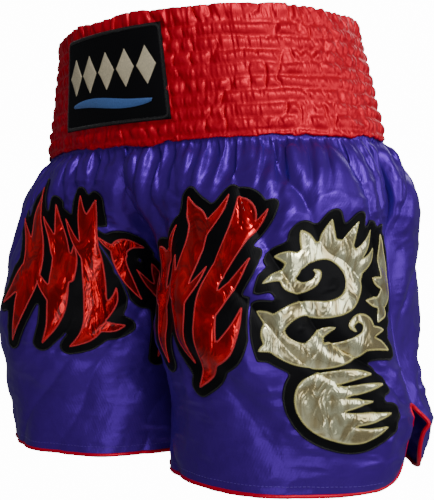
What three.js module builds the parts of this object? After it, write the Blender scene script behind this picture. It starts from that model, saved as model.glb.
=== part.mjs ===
// Boxing shorts: a gathered eight-row elastic waistband over four satin panels,
// with corded hems, side vents, a front label patch and foil applique work.
//
// Millimetres. +Z is up, -Y is the wearer's front and +X the wearer's left.
// The origin is the centre of the waist opening at the top edge.
import * as THREE from 'three';

// ---- driving dimensions --------------------------------------------------------------

const TOTAL_LENGTH = 375; // top edge to hem, down the side seam
const HEADER_HEIGHT = 14.5; // ruffle above the first elastic
const CHANNEL_HEIGHT = 10.6; // stitch row to stitch row
const ELASTIC_COUNT = 8;
const SEAM_LAP = 5.7; // strip of the casing that closes over the panels' top edges
const WAIST_TILT = 0.069; // the front of the waist sits lower than the back
const TILT_FADE = 195; // the tilt has gone this far below the waistband

const WAIST = { halfWidth: 141, halfDepth: 124 };
const BAND_SEAM = { halfWidth: 172, halfDepth: 114 };
// Below the waistband: share of the way down to the hem, half width and half depth.
const BODY_LEVELS = [
  { share: 0.17, halfWidth: 191, halfDepth: 131 },
  { share: 0.35, halfWidth: 189, halfDepth: 135 },
  { share: 0.57, halfWidth: 193, halfDepth: 130 },
  { share: 0.80, halfWidth: 202, halfDepth: 111 },
  { share: 1.00, halfWidth: 191, halfDepth: 103 },
];
const RISE_DEPTH = 170; // waistband to crotch, down the centre
const LEG_GAP = 4; // half the space between the two legs
const PARTING = 40; // below the crotch, where that space opens

const CLEARANCE = 0.3; // between pieces that are sewn together
const CLOTH = 1.0; // a satin panel, with its lining
const CASING_WALL = 0.8;
const SCALLOP = 2.2; // how far each gathered row stands out of its stitch lines
const ELASTIC_THICKNESS = 1.2;
const ELASTIC_MARGIN = 0.5; // between an elastic's edge and its stitch line

const VENT_HEIGHT = 62; // hem to the top of the side vent
const VENT_HALF_WIDTH = 5;
const CORNER_WIDTH = 60; // rounded lower corner of each flap at the vent
const CORNER_HEIGHT = 38;
const BACK_FLARE = 17; // the back flap stands outside the front one
const PIPING_RADIUS = 1.7;

const PATCH_WIDTH = 114;
const PATCH_HEIGHT = 76;
const PATCH_DROP = 10.8; // top edge to patch
const PATCH_OFFSET = -9; // patch centre, towards the wearer's right
const PATCH_THICKNESS = 0.9;
const EMBROIDERY = 0.8;

const BACKING_LIFT = 0.8; // over the panel, so flat facets stay clear of its curve
const BACKING = 0.6;
const BACKING_STEP = 10; // applique units between its grid lines
const FOIL_LIFT = 0.85; // over the backing
const FOIL = 0.5;

const QUARTER_FACETS = 12; // facets across each panel, and round a quarter of the waist
const TUBE_SIDES = 6;

// ---- sizes worked out from them ------------------------------------------------------

const BAND_HEIGHT = HEADER_HEIGHT + ELASTIC_COUNT * CHANNEL_HEIGHT + SEAM_LAP;
const SKIRT = TOTAL_LENGTH - BAND_HEIGHT;
const ELASTIC_WIDTH = CHANNEL_HEIGHT - 2 * ELASTIC_MARGIN;
const SLOT = ELASTIC_THICKNESS + 2 * CLEARANCE;
const INNER_WALL = CASING_WALL + SLOT;
const PANEL_TUCK = CASING_WALL + (SLOT - CLOTH) / 2;
const VENT_TOP = -(TOTAL_LENGTH - VENT_HEIGHT);
const PIPING_OFFSET = PIPING_RADIUS + CLEARANCE;
const PATCH_LIFT = SCALLOP + CLEARANCE + 0.2;
const ART_ACROSS = 300; // applique units from the centre front to the side seam
const ART_DOWN = 270; // applique units from the waistband to the hem

const LEVELS = [
  { z: 0, ...WAIST },
  { z: -BAND_HEIGHT, ...BAND_SEAM },
  ...BODY_LEVELS.map((level) => ({
    z: -BAND_HEIGHT - level.share * SKIRT,
    halfWidth: level.halfWidth,
    halfDepth: level.halfDepth,
  })),
];

// ---- materials -----------------------------------------------------------------------

const material = (color, roughness, metalness = 0) =>
  new THREE.MeshStandardMaterial({ color, roughness, metalness });

const redSatin = material(0xd0202c, 0.45);
const blueSatin = material(0x3a2f9a, 0.4);
const blackSatin = material(0x101012, 0.55);
const elasticWeave = material(0xe8e4dc, 0.85);
const redCord = material(0xc8243a, 0.5);
const redFoil = material(0xc01812, 0.2, 0.8);
const goldFoil = material(0xcdb87c, 0.25, 0.85);
const creamThread = material(0xd8cda8, 0.7);
const blueThread = material(0x3f66a8, 0.7);

// ---- the body form -------------------------------------------------------------------

const ease = (t) => {
  const c = THREE.MathUtils.clamp(t, 0, 1);
  return c * c * (3 - 2 * c);
};

// Half width or half depth at height z: straight down the waistband, then a smooth
// curve through the levels.
function levelSize(z, key) {
  const last = LEVELS.length - 1;
  let i = 0;
  while (i < last - 1 && z < LEVELS[i + 1].z) i += 1;
  const slope = (k) => {
    const a = LEVELS[Math.max(k - 1, 0)];
    const b = LEVELS[Math.min(k + 1, last)];
    return (b[key] - a[key]) / (b.z - a.z);
  };
  const low = LEVELS[i];
  const high = LEVELS[i + 1];
  const span = high.z - low.z;
  const t = (z - low.z) / span;
  if (i === 0) return low[key] + (high[key] - low[key]) * t;
  const t2 = t * t;
  const t3 = t2 * t;
  return (2 * t3 - 3 * t2 + 1) * low[key] + (t3 - 2 * t2 + t) * span * slope(i)
    + (3 * t2 - 2 * t3) * high[key] + (t3 - t2) * span * slope(i + 1);
}

// How far the section has changed from half of a torso (0) to a whole leg (1).
const legShare = (z) => ease((-BAND_HEIGHT - z) / RISE_DEPTH);

// Point of the wearer's left half. s runs from the inner front edge (-1) by the side
// seam (0) to the inner back edge (1).
function leftPoint(s, z) {
  const width = levelSize(z, 'halfWidth');
  const depth = levelSize(z, 'halfDepth');
  const leg = legShare(z);
  const parted = ease((-BAND_HEIGHT - 0.9 * RISE_DEPTH - z) / PARTING);
  const inner = CLEARANCE / 2 + (LEG_GAP - CLEARANCE / 2) * parted;
  const radius = (width - inner) / 2;
  const quarter = s * Math.PI / 2;
  const torsoX = width * Math.cos(quarter);
  const legX = inner + radius + radius * Math.cos(2 * quarter);
  const y = depth * ((1 - leg) * Math.sin(quarter) + leg * Math.sin(2 * quarter));
  const tiltShare = THREE.MathUtils.clamp((z + BAND_HEIGHT + TILT_FADE) / TILT_FADE, 0, 1);
  const below = ease((VENT_TOP - z) / VENT_HEIGHT);
  const flare = s > 0 ? BACK_FLARE * below * (1 - ease(s / 0.32)) : 0;
  return new THREE.Vector3(
    (1 - leg) * torsoX + leg * legX + flare,
    y,
    z + tiltShare * WAIST_TILT * y,
  );
}

// The same point, lifted along the outward normal.
function leftLifted(s, z, lift) {
  const step = 0.002;
  const point = leftPoint(s, z);
  const from = Math.max(s - step, s < 0 ? -1 : 1e-6);
  const to = Math.min(s + step, s < 0 ? -1e-6 : 1);
  const across = leftPoint(to, z).sub(leftPoint(from, z));
  const down = leftPoint(s, z - 0.5).sub(leftPoint(s, z + 0.5));
  return point.addScaledVector(down.cross(across).normalize(), lift);
}

function lifted(side, s, z, lift) {
  const point = leftLifted(s, z, lift);
  point.x *= side;
  return point;
}

// Millimetres of cloth for each unit of s.
function clothPerUnit(s, z) {
  const step = 0.01;
  return leftPoint(s + step, z).distanceTo(leftPoint(s, z)) / step;
}

// Point of the waistband. turn runs once round, 0 at the centre front, towards the left.
function waistPoint(turn, z, lift) {
  const wrapped = turn - Math.floor(turn);
  const side = wrapped <= 0.5 ? 1 : -1;
  const fromFront = side > 0 ? wrapped : 1 - wrapped;
  return lifted(side, 4 * fromFront - 1, z, lift);
}

// ---- closed solids by lofting --------------------------------------------------------

// Joins equal sections into one closed body. Both halves of a section split their quads
// along the same diagonal, so a sheet keeps its thickness where it twists. An open loft
// is capped by a strip that pairs the first half with the second.
function loft(sections, closed) {
  const size = sections[0].length;
  const points = sections.flat();
  const triangles = [];
  const quad = (a, b, c, d) => triangles.push(a, b, c, a, c, d);
  const spans = closed ? sections.length : sections.length - 1;
  for (let i = 0; i < spans; i += 1) {
    const here = i * size;
    const next = ((i + 1) % sections.length) * size;
    for (let j = 0; j < size; j += 1) {
      const k = (j + 1) % size;
      if (j < size / 2) quad(here + j, next + j, next + k, here + k);
      else quad(next + j, next + k, here + k, here + j);
    }
  }
  const end = (sections.length - 1) * size;
  for (let j = 0; !closed && j < size / 2 - 1; j += 1) {
    quad(j, j + 1, size - 2 - j, size - 1 - j);
    quad(end + size - 1 - j, end + size - 2 - j, end + j + 1, end + j);
  }
  let volume = 0;
  for (let t = 0; t < triangles.length; t += 3) {
    const [a, b, c] = [0, 1, 2].map((n) => points[triangles[t + n]]);
    volume += a.dot(b.clone().cross(c));
  }
  if (volume < 0) triangles.reverse();
  const geometry = new THREE.BufferGeometry().setFromPoints(points);
  geometry.setIndex(triangles);
  geometry.computeVertexNormals();
  return geometry;
}

// A section of cloth: outer points one way, inner points back.
const sheetSection = (outer, inner) => [...outer, ...inner.reverse()];

const range = (count, from, to) =>
  Array.from({ length: count + 1 }, (_, i) => from + (to - from) * i / count);

const shorts = new THREE.Group();

function add(name, geometry, itsMaterial) {
  const mesh = new THREE.Mesh(geometry, itsMaterial);
  mesh.name = name;
  shorts.add(mesh);
}

// ---- waistband -----------------------------------------------------------------------

const turns = range(4 * QUARTER_FACETS, 0, 1).slice(0, -1);

const ring = (profile) =>
  loft(turns.map((turn) => profile.map(([z, lift]) => waistPoint(turn, z, lift))), true);

// The casing is folded over at the top, with one deep slot open downwards between its
// outer and inner walls. Each gathered row stands out between two stitch lines.
function addCasing() {
  const rows = [0, ...range(ELASTIC_COUNT, HEADER_HEIGHT, BAND_HEIGHT - SEAM_LAP), BAND_HEIGHT];
  const outer = [];
  rows.slice(0, -1).forEach((top, i) => {
    const bottom = rows[i + 1];
    outer.push([-top, i === 0 ? -CASING_WALL : 0]);
    outer.push([-(top + bottom) / 2, SCALLOP]);
  });
  outer.push([-BAND_HEIGHT, 0]);
  // The waistband changes shape on its way down, so its long walls are cut into steps.
  const slot = range(6, -BAND_HEIGHT, -(HEADER_HEIGHT - CLEARANCE));
  const profile = [
    ...outer,
    ...slot.map((z) => [z, -CASING_WALL]),
    ...slot.map((z) => [z, -INNER_WALL]).reverse(),
    ...range(2, -BAND_HEIGHT, 0).map((z) => [z, -INNER_WALL - CASING_WALL]),
  ];
  add('waistband_casing', ring(profile), redSatin);
}

function addElastics() {
  const near = -CASING_WALL - CLEARANCE;
  const far = near - ELASTIC_THICKNESS;
  for (let i = 0; i < ELASTIC_COUNT; i += 1) {
    const top = HEADER_HEIGHT + i * CHANNEL_HEIGHT + ELASTIC_MARGIN;
    const bottom = top + ELASTIC_WIDTH;
    const profile = [[-top, near], [-bottom, near], [-bottom, far], [-top, far]];
    add(`elastic_band_${i + 1}`, ring(profile), elasticWeave);
  }
}

// ---- body panels ---------------------------------------------------------------------

// Share of s that leaves the seam clearance between two panels.
const SEAM_SHARE = CLEARANCE / (2 * BODY_LEVELS[1].halfDepth);

// Distance in cloth from the side seam to a flap's edge at height z. grow moves the
// edge outwards, which is where the piping runs.
function ventInset(z, grow) {
  const top = VENT_TOP - grow;
  if (z >= top) return 0;
  const halfWidth = VENT_HALF_WIDTH - grow;
  const arch = Math.min((top - z) / halfWidth, 1);
  const slit = halfWidth * Math.sqrt(1 - (1 - arch) ** 2);
  const hem = -TOTAL_LENGTH - grow;
  const rise = THREE.MathUtils.clamp((hem + CORNER_HEIGHT + grow - z) / (CORNER_HEIGHT + grow), 0, 1);
  return slit + (CORNER_WIDTH + grow) * (1 - Math.sqrt(1 - rise ** 2));
}

const edgeShare = (z, grow) => ventInset(z, grow) / clothPerUnit(0.08, z);

function panelRows() {
  const lap = 1.5;
  const top = -BAND_HEIGHT + SEAM_LAP - CLEARANCE;
  const skirt = range(8, -BAND_HEIGHT - 16, VENT_TOP);
  const arch = [0.25, 1, 2].map((share) => VENT_TOP - share * VENT_HALF_WIDTH);
  const corner = [0, 0.45, 0.75, 0.92].map((share) => -TOTAL_LENGTH + CORNER_HEIGHT * (1 - share));
  return [top, -BAND_HEIGHT - lap, ...skirt, ...arch, ...corner, -TOTAL_LENGTH];
}

function addPanel(name, side, front) {
  const sections = panelRows().map((z) => {
    const tuck = PANEL_TUCK * (1 - ease((-BAND_HEIGHT - 2 - z) / 12));
    const sideEdge = Math.max(edgeShare(z, 0), SEAM_SHARE);
    const columns = range(QUARTER_FACETS, front ? -1 + SEAM_SHARE : sideEdge,
      front ? -sideEdge : 1 - SEAM_SHARE);
    return sheetSection(
      columns.map((s) => lifted(side, s, z, -tuck)),
      columns.map((s) => lifted(side, s, z, -tuck - CLOTH)),
    );
  });
  add(name, loft(sections, false), blueSatin);
}

// ---- piping --------------------------------------------------------------------------

// The cord's path: up one flap's vent edge, over the vent and down the other edge, then
// round the hem.
function pipingPath(side) {
  const path = [];
  const lay = (s, z) => path.push(lifted(side, s, z, -CLOTH / 2));
  const hem = -TOTAL_LENGTH - PIPING_OFFSET;
  const corner = CORNER_HEIGHT + PIPING_OFFSET;
  const heights = [
    ...range(6, 88, 0).map((angle) => hem + corner * (1 - Math.sin(THREE.MathUtils.degToRad(angle)))),
    ...range(2, hem + corner + 8, VENT_TOP - 2 * VENT_HALF_WIDTH),
    ...range(3, 60, 0).map((angle) =>
      VENT_TOP - PIPING_OFFSET
      - (VENT_HALF_WIDTH - PIPING_OFFSET) * (1 - Math.cos(THREE.MathUtils.degToRad(angle)))),
  ].filter((z, i, all) => i === 0 || z > all[i - 1] + 0.2);
  heights.forEach((z) => lay(edgeShare(z, PIPING_OFFSET), z));
  heights.slice(0, -1).reverse().forEach((z) => lay(-edgeShare(z, PIPING_OFFSET), z));
  const start = edgeShare(hem + 0.05, PIPING_OFFSET);
  range(30, -start - 0.03, -2 + start + 0.03).forEach((s) => lay(s < -1 ? s + 2 : s, hem));
  return path;
}

function addPiping(name, side) {
  const path = pipingPath(side);
  const count = path.length;
  const sections = path.map((point, i) => {
    const along = path[(i + 1) % count].clone().sub(path[(i + count - 1) % count]).normalize();
    const centre = new THREE.Vector3(side * levelSize(point.z, 'halfWidth') / 2, 0, point.z);
    const away = point.clone().sub(centre);
    const outward = away.addScaledVector(along, -away.dot(along)).normalize();
    const binormal = along.clone().cross(outward);
    return range(TUBE_SIDES, 0, 2 * Math.PI).slice(0, -1).map((angle) => point.clone()
      .addScaledVector(outward, PIPING_RADIUS * Math.cos(angle))
      .addScaledVector(binormal, PIPING_RADIUS * Math.sin(angle)));
  });
  add(name, loft(sections, true), redCord);
}

// ---- label patch ---------------------------------------------------------------------

// Waistband turn for a distance across the patch, from its own centre.
const patchTurn = (across) =>
  (across + PATCH_OFFSET) / (4 * clothPerUnit(-0.9, -BAND_HEIGHT / 2));

// A sheet on the patch: across positions, and for each the top and bottom heights.
function patchSheet(columns, lift, thickness) {
  const sections = columns.map(({ across, top, bottom }) => {
    const heights = range(3, top, bottom);
    const at = (z, d) => waistPoint(patchTurn(across), z, d);
    return sheetSection(
      heights.map((z) => at(z, lift + thickness)),
      heights.map((z) => at(z, lift)),
    );
  });
  return loft(sections, false);
}

function addPatch() {
  const half = PATCH_WIDTH / 2;
  const patch = range(12, -half, half).map((across) =>
    ({ across, top: -PATCH_DROP, bottom: -PATCH_DROP - PATCH_HEIGHT }));
  add('label_patch', patchSheet(patch, PATCH_LIFT, PATCH_THICKNESS), blackSatin);
  const threadLift = PATCH_LIFT + PATCH_THICKNESS + CLEARANCE;
  const lozengeCount = 5;
  const lozengeHeight = 15;
  const lozengeMiddle = -PATCH_DROP - PATCH_HEIGHT * 0.42;
  const lozenges = range(4 * lozengeCount, -0.36 * PATCH_WIDTH, 0.36 * PATCH_WIDTH).map((across, i) => {
    const reach = [0.12, 0.6, 1, 0.6][i % 4] * lozengeHeight;
    return { across, top: lozengeMiddle + reach, bottom: lozengeMiddle - reach };
  });
  add('patch_lozenges', patchSheet(lozenges, threadLift, EMBROIDERY), creamThread);
  const barMiddle = -PATCH_DROP - PATCH_HEIGHT * 0.76;
  const bar = range(12, -0.38 * PATCH_WIDTH, 0.38 * PATCH_WIDTH).map((across) =>
    ({ across, top: barMiddle + 2.5, bottom: barMiddle - 2.5 }));
  add('patch_bar', patchSheet(bar, threadLift, EMBROIDERY), blueThread);
}

// ---- appliques -----------------------------------------------------------------------

// How far the front panel's flat facets stand above its true curve at (s, z), which they
// do where the cloth is hollow.
function facetRise(s, z) {
  const rows = panelRows();
  const i = rows.findIndex((row, k) => k === rows.length - 2 || z > rows[k + 1]);
  const j = Math.min(Math.floor((s + 1) * QUARTER_FACETS), QUARTER_FACETS - 1);
  const down = (rows[i] - z) / (rows[i] - rows[i + 1]);
  const across = (s + 1) * QUARTER_FACETS - j;
  const corner = (dj, di) => leftPoint(Math.min((j + dj) / QUARTER_FACETS - 1, -1e-6), rows[i + di]);
  const [a, b, c, d] = [corner(0, 0), corner(1, 0), corner(0, 1), corner(1, 1)];
  const facet = a.clone().lerp(b, across).lerp(c.clone().lerp(d, across), down);
  const outward = leftLifted(s, z, 1).sub(leftPoint(s, z));
  const twist = a.sub(b).sub(c).add(d).dot(outward) / 4;
  return Math.max(0, facet.sub(leftPoint(s, z)).dot(outward)) + Math.abs(twist);
}

// Applique drawings use their own units: across from the centre front edge to the side
// seam (300), and down from the waistband to the hem (270).
function artPoint(side, across, down, lift) {
  const s = across / ART_ACROSS - 1;
  const z = -BAND_HEIGHT - down * SKIRT / ART_DOWN;
  return lifted(side, s, z, lift + facetRise(s, z));
}

// A backing is a list of rows: down, inner edge, outer edge.
function addBacking(name, side, rows) {
  const inner = new THREE.CatmullRomCurve3(rows.map(([down, a]) => new THREE.Vector3(a, down, 0)));
  const outer = new THREE.CatmullRomCurve3(rows.map(([down, , b]) => new THREE.Vector3(b, down, 0)));
  const widest = Math.max(...rows.map(([, a, b]) => b - a));
  const columns = Math.ceil(widest / BACKING_STEP);
  const tall = rows[rows.length - 1][0] - rows[0][0];
  const sections = range(Math.ceil(tall / BACKING_STEP), 0, 1).map((t) => {
    const a = inner.getPoint(t);
    const b = outer.getPoint(t);
    const line = range(columns, 0, 1).map((share) => a.clone().lerp(b, share));
    return sheetSection(
      line.map((p) => artPoint(side, p.x, p.y, BACKING_LIFT + BACKING)),
      line.map((p) => artPoint(side, p.x, p.y, BACKING_LIFT)),
    );
  });
  add(name, loft(sections, false), blackSatin);
}

// A foil piece is a tapered stroke along a curve through a few points.
function addStroke(name, side, points, halfWidth, itsMaterial) {
  const curve = new THREE.CatmullRomCurve3(points.map(([a, d]) => new THREE.Vector3(a, d, 0)));
  const length = curve.getLength();
  const steps = Math.max(8, Math.ceil(length / 11));
  const lift = BACKING_LIFT + BACKING + FOIL_LIFT;
  const sections = range(steps, 0, 1).map((t) => {
    const centre = curve.getPointAt(t);
    const tangent = curve.getTangentAt(t);
    const half = halfWidth * Math.max(0.12, Math.sin(Math.PI * (0.08 + 0.84 * t)) ** 0.8);
    const line = [-half, 0, half].map((reach) =>
      new THREE.Vector3(centre.x - tangent.y * reach, centre.y + tangent.x * reach, 0));
    return sheetSection(
      line.map((p) => artPoint(side, p.x, p.y, lift + FOIL)),
      line.map((p) => artPoint(side, p.x, p.y, lift)),
    );
  });
  add(name, loft(sections, false), itsMaterial);
}

const LEFT = 1;
const RIGHT = -1;

function addFlames() {
  addBacking('flame_backing_outer', RIGHT, [
    [24, 84, 110], [33, 46, 124], [55, 36, 136], [85, 46, 148], [115, 58, 164],
    [145, 70, 180], [163, 70, 182], [177, 68, 174], [185, 74, 150],
  ]);
  addStroke('flame_outer_1', RIGHT, [[105, 34], [120, 70], [136, 110], [154, 145], [162, 172]], 9, redFoil);
  addStroke('flame_outer_2', RIGHT, [[84, 50], [94, 90], [106, 128], [122, 160]], 10, redFoil);
  addStroke('flame_outer_3', RIGHT, [[52, 46], [60, 80], [74, 118], [82, 150], [98, 174]], 9, redFoil);
  addBacking('flame_backing_inner', RIGHT, [
    [75, 16, 34], [90, 14, 40], [110, 14, 50], [133, 16, 60], [150, 18, 60], [170, 24, 52], [187, 30, 45],
  ]);
  addStroke('flame_inner_1', RIGHT, [[20, 86], [30, 92], [41, 108], [49, 134]], 4.5, redFoil);
  addStroke('flame_inner_2', RIGHT, [[21, 106], [25, 130], [32, 158], [37, 180]], 4.5, redFoil);
  addBacking('flame_backing_left', LEFT, [
    [38, 96, 146], [47, 76, 156], [70, 62, 160], [100, 70, 168], [130, 84, 178],
    [157, 96, 184], [180, 110, 182], [197, 136, 166],
  ]);
  addStroke('flame_left_1', LEFT,
    [[132, 51], [146, 75], [154, 107], [166, 135], [167, 165], [152, 189]], 10, redFoil);
  addStroke('flame_left_2', LEFT, [[92, 55], [106, 85], [122, 115], [132, 145], [140, 173]], 9, redFoil);
  addStroke('flame_left_3', LEFT, [[72, 85], [86, 115], [100, 145], [112, 171]], 7, redFoil);
}

function addScroll() {
  addBacking('scroll_backing', LEFT, [
    [61, 212, 240], [67, 188, 258], [80, 176, 280], [100, 174, 296], [125, 184, 299],
    [150, 192, 298], [167, 200, 286], [181, 208, 262], [191, 200, 252], [203, 196, 246],
    [220, 196, 264], [235, 206, 280], [247, 224, 262],
  ]);
  addStroke('scroll_body', LEFT, [
    [186, 109], [200, 93], [228, 87], [254, 99], [260, 119], [240, 131], [214, 134],
    [198, 149], [208, 167], [236, 167], [262, 157], [276, 167],
  ], 7, goldFoil);
  addStroke('scroll_crest', LEFT, [[280, 95], [286, 117], [284, 141]], 5, goldFoil);
  addStroke('scroll_tail', LEFT, [[246, 187], [214, 191], [205, 211], [218, 233], [254, 239]], 7, goldFoil);
}

// ---- assembly ------------------------------------------------------------------------

addCasing();
addElastics();
addPanel('front_panel_left', LEFT, true);
addPanel('front_panel_right', RIGHT, true);
addPanel('back_panel_left', LEFT, false);
addPanel('back_panel_right', RIGHT, false);
addPiping('piping_left_leg', LEFT);
addPiping('piping_right_leg', RIGHT);
addPatch();
addFlames();
addScroll();

export default shorts;
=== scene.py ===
import math

import bpy
import numpy as np
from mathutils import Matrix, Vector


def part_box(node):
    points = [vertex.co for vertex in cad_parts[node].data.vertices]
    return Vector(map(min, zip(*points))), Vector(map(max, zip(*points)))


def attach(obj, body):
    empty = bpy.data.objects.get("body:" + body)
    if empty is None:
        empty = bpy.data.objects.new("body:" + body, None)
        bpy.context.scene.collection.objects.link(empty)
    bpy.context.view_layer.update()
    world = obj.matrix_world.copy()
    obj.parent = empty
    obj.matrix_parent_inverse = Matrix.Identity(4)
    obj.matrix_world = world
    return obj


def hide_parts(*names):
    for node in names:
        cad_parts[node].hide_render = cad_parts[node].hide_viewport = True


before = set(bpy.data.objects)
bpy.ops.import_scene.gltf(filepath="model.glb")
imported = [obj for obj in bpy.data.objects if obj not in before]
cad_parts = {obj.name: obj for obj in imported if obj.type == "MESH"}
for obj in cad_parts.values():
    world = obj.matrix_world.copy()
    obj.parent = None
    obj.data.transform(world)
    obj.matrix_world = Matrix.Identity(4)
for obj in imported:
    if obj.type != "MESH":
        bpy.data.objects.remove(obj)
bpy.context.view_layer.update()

bl_info = {
    "name": "Boxing Shorts",
    "version": (1, 0, 0),
    "blender": (4, 5, 0),
    "location": "3D View > Sidebar > Boxing Shorts",
    "description": "Builds satin boxing shorts with a gathered waistband and foil applique work",
    "category": "Add Mesh",
}

LEFT, RIGHT = 1, -1
MM = 0.001

# Below the waistband: share of the way down to the hem, half width and half depth.
BODY_LEVELS = (
    (0.17, 0.191, 0.131),
    (0.35, 0.189, 0.135),
    (0.57, 0.193, 0.130),
    (0.80, 0.202, 0.111),
    (1.00, 0.191, 0.103),
)
ART_ACROSS = 300  # applique units from the centre front to the side seam
ART_DOWN = 270  # applique units from the waistband to the hem
PANEL_ARC = 0.32  # metres of form from a panel's inner edge to its side seam
BAND_GIRTH = 0.86  # metres once round the waistband
PATCH = (0.114, 0.076)  # width and height of the patch
PATCH_TOP = 0.0108  # metres from the waistband's top edge down to the patch
PATCH_SHIFT = 0.009  # metres from the centre front to the patch's middle
HEM_STITCH = 0.0065  # metres from the hem up to its top stitches
CUT_SLACK = 1.12  # flat area of an applique over its outline's, for the folds it lies on


def length(name, default, description):
    """A length property, in metres."""
    return bpy.props.FloatProperty(
        name=name, description=description, default=default, min=0.0, unit="LENGTH", precision=4)


def share(name, default, description):
    """A plain number property from 0 to 1."""
    return bpy.props.FloatProperty(
        name=name, description=description, default=default, min=0.0, max=1.0, subtype="FACTOR")


def colour(name, default, description):
    """A linear colour property."""
    return bpy.props.FloatVectorProperty(
        name=name, description=description, default=default, size=3, min=0.0, max=1.0,
        subtype="COLOR")


class ShortsSizes(bpy.types.PropertyGroup):
    """Sizes of the shorts, in the frame's own metres."""
    total_length: length("Total length", -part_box("front_panel_left")[0][2], "Waist to hem")
    header_height: length("Header", 0.0145, "Ruffle above the first elastic")
    channel_height: length("Channel", 0.0106, "Stitch row to stitch row")
    seam_lap: length("Seam lap", 0.0057, "Casing below the last elastic")
    elastic_count: bpy.props.IntProperty(
        name="Elastics", description="Elastic rows in the waistband", default=8, min=1)
    waist_tilt: share("Waist tilt", 0.069, "How far the front of the waist sits lower")
    tilt_fade: length("Tilt fade", 0.195, "The tilt has gone this far below the waistband")
    waist_width: length("Waist half width", 0.141, "Half width of the waist")
    waist_depth: length("Waist half depth", 0.124, "Half depth of the waist")
    seam_width: length("Seam half width", 0.172, "Half width under the waistband")
    seam_depth: length("Seam half depth", 0.114, "Half depth under the waistband")
    rise_depth: length("Rise", 0.170, "Waistband to crotch, down the centre")
    leg_gap: length("Leg gap", 0.004, "Half the space between the legs")
    parting: length("Parting", 0.040, "Below the crotch, where that space opens")
    vent_height: length("Vent height", 0.062, "Hem to the top of the side vent")
    vent_half_width: length("Vent half width", 0.005, "Half the slit")
    corner_width: length("Corner width", 0.042, "Rounded flap corner, across")
    corner_height: length("Corner height", 0.032, "Rounded flap corner, up")
    seam_lean: share("Seam lean", 0.040, "How far back the side seam leans at the hem")
    side_flare: length("Side flare", 0.010, "Both flaps stand out at the vent")
    back_flare: length("Back flare", 0.008, "The back flap stands outside the front one")
    piping_radius: length("Piping radius", 0.0017, "Cord in the hem piping")
    cloth: length("Cloth", 0.0009, "Satin and its lining")
    body_gather: share("Body gather", 0.26, "Extra satin gathered into the waistband")
    band_gather: share("Band gather", 0.34, "Extra satin gathered over each elastic")
    seed: bpy.props.IntProperty(name="Seed", description="Chooses the folds", default=7)


class ShortsColours(bpy.types.PropertyGroup):
    """Colours of the cloths, foils and threads."""
    body: colour("Body satin", (0.078, 0.015, 0.345), "Deep violet blue")
    band: colour("Band satin", (0.690, 0.006, 0.028), "Scarlet")
    piping: colour("Piping", (0.700, 0.002, 0.030), "Crimson cord")
    backing: colour("Backing", (0.004, 0.004, 0.005), "Black")
    red_foil: colour("Red foil", (0.740, 0.006, 0.010), "Mirror red")
    red_thread: colour("Red thread", (0.800, 0.012, 0.024), "Satin stitch")
    gold_foil: colour("Gold foil", (1.0, 0.840, 0.420), "Mirror gold")
    gold_thread: colour("Gold thread", (0.900, 0.740, 0.260), "Zigzag stitch")
    cream_thread: colour("Cream thread", (0.620, 0.540, 0.360), "Embroidery")
    blue_thread: colour("Blue thread", (0.045, 0.130, 0.380), "Embroidery")


def sizes():
    """The sizes that every piece reads."""
    return bpy.context.scene.shorts_sizes


def colours():
    """The colours that every material reads."""
    return bpy.context.scene.shorts_colours


# ---- numbers on arrays ---------------------------------------------------------------


def ease(t):
    """3t^2 - 2t^3 with t held between 0 and 1."""
    t = np.clip(t, 0.0, 1.0)
    return t * t * (3 - 2 * t)


def unit(vectors):
    """Vectors divided by their lengths."""
    return vectors / np.maximum(np.linalg.norm(vectors, axis=-1, keepdims=True), 1e-12)


def dot(a, b):
    """Row by row dot product, with its axis kept."""
    return (a * b).sum(-1, keepdims=True)


def smooth_noise(u, v, seed):
    """Random heights from -1 to 1 on whole numbers, eased together between them."""
    lattice = np.random.default_rng(seed).uniform(-1, 1, (128, 128))
    u, v = np.broadcast_arrays(u, v)
    iu, iv = np.floor(u).astype(int), np.floor(v).astype(int)
    fu, fv = ease(u - iu), ease(v - iv)
    iu, iv = iu % 128, iv % 128
    ju, jv = (iu + 1) % 128, (iv + 1) % 128
    low = lattice[iu, iv] * (1 - fu) + lattice[ju, iv] * fu
    high = lattice[iu, jv] * (1 - fu) + lattice[ju, jv] * fu
    return low * (1 - fv) + high * fv


def resample(grid, count, axis):
    """A grid read at count even places along one axis, by Catmull-Rom curves."""
    size = grid.shape[axis]
    place = np.linspace(0, size - 1, count)
    i = np.minimum(place.astype(int), size - 2)
    t = (place - i).reshape([-1 if k == axis else 1 for k in range(grid.ndim)])
    a, b, c, d = (np.take(grid, np.clip(i + k, 0, size - 1), axis) for k in (-1, 0, 1, 2))
    return b + 0.5 * t * (c - a + t * (2 * a - 5 * b + 4 * c - d + t * (3 * (b - c) + d - a)))


def spread(field, passes):
    """A (..., R, C) field blurred by averaging each value with its four neighbours."""
    for _ in range(passes):
        padded = np.pad(field, [(0, 0)] * (field.ndim - 2) + [(1, 1), (1, 1)], mode="edge")
        field = (padded[..., :-2, 1:-1] + padded[..., 2:, 1:-1]
                 + padded[..., 1:-1, :-2] + padded[..., 1:-1, 2:]) / 4
    return field


# ---- the body form -------------------------------------------------------------------


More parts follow.
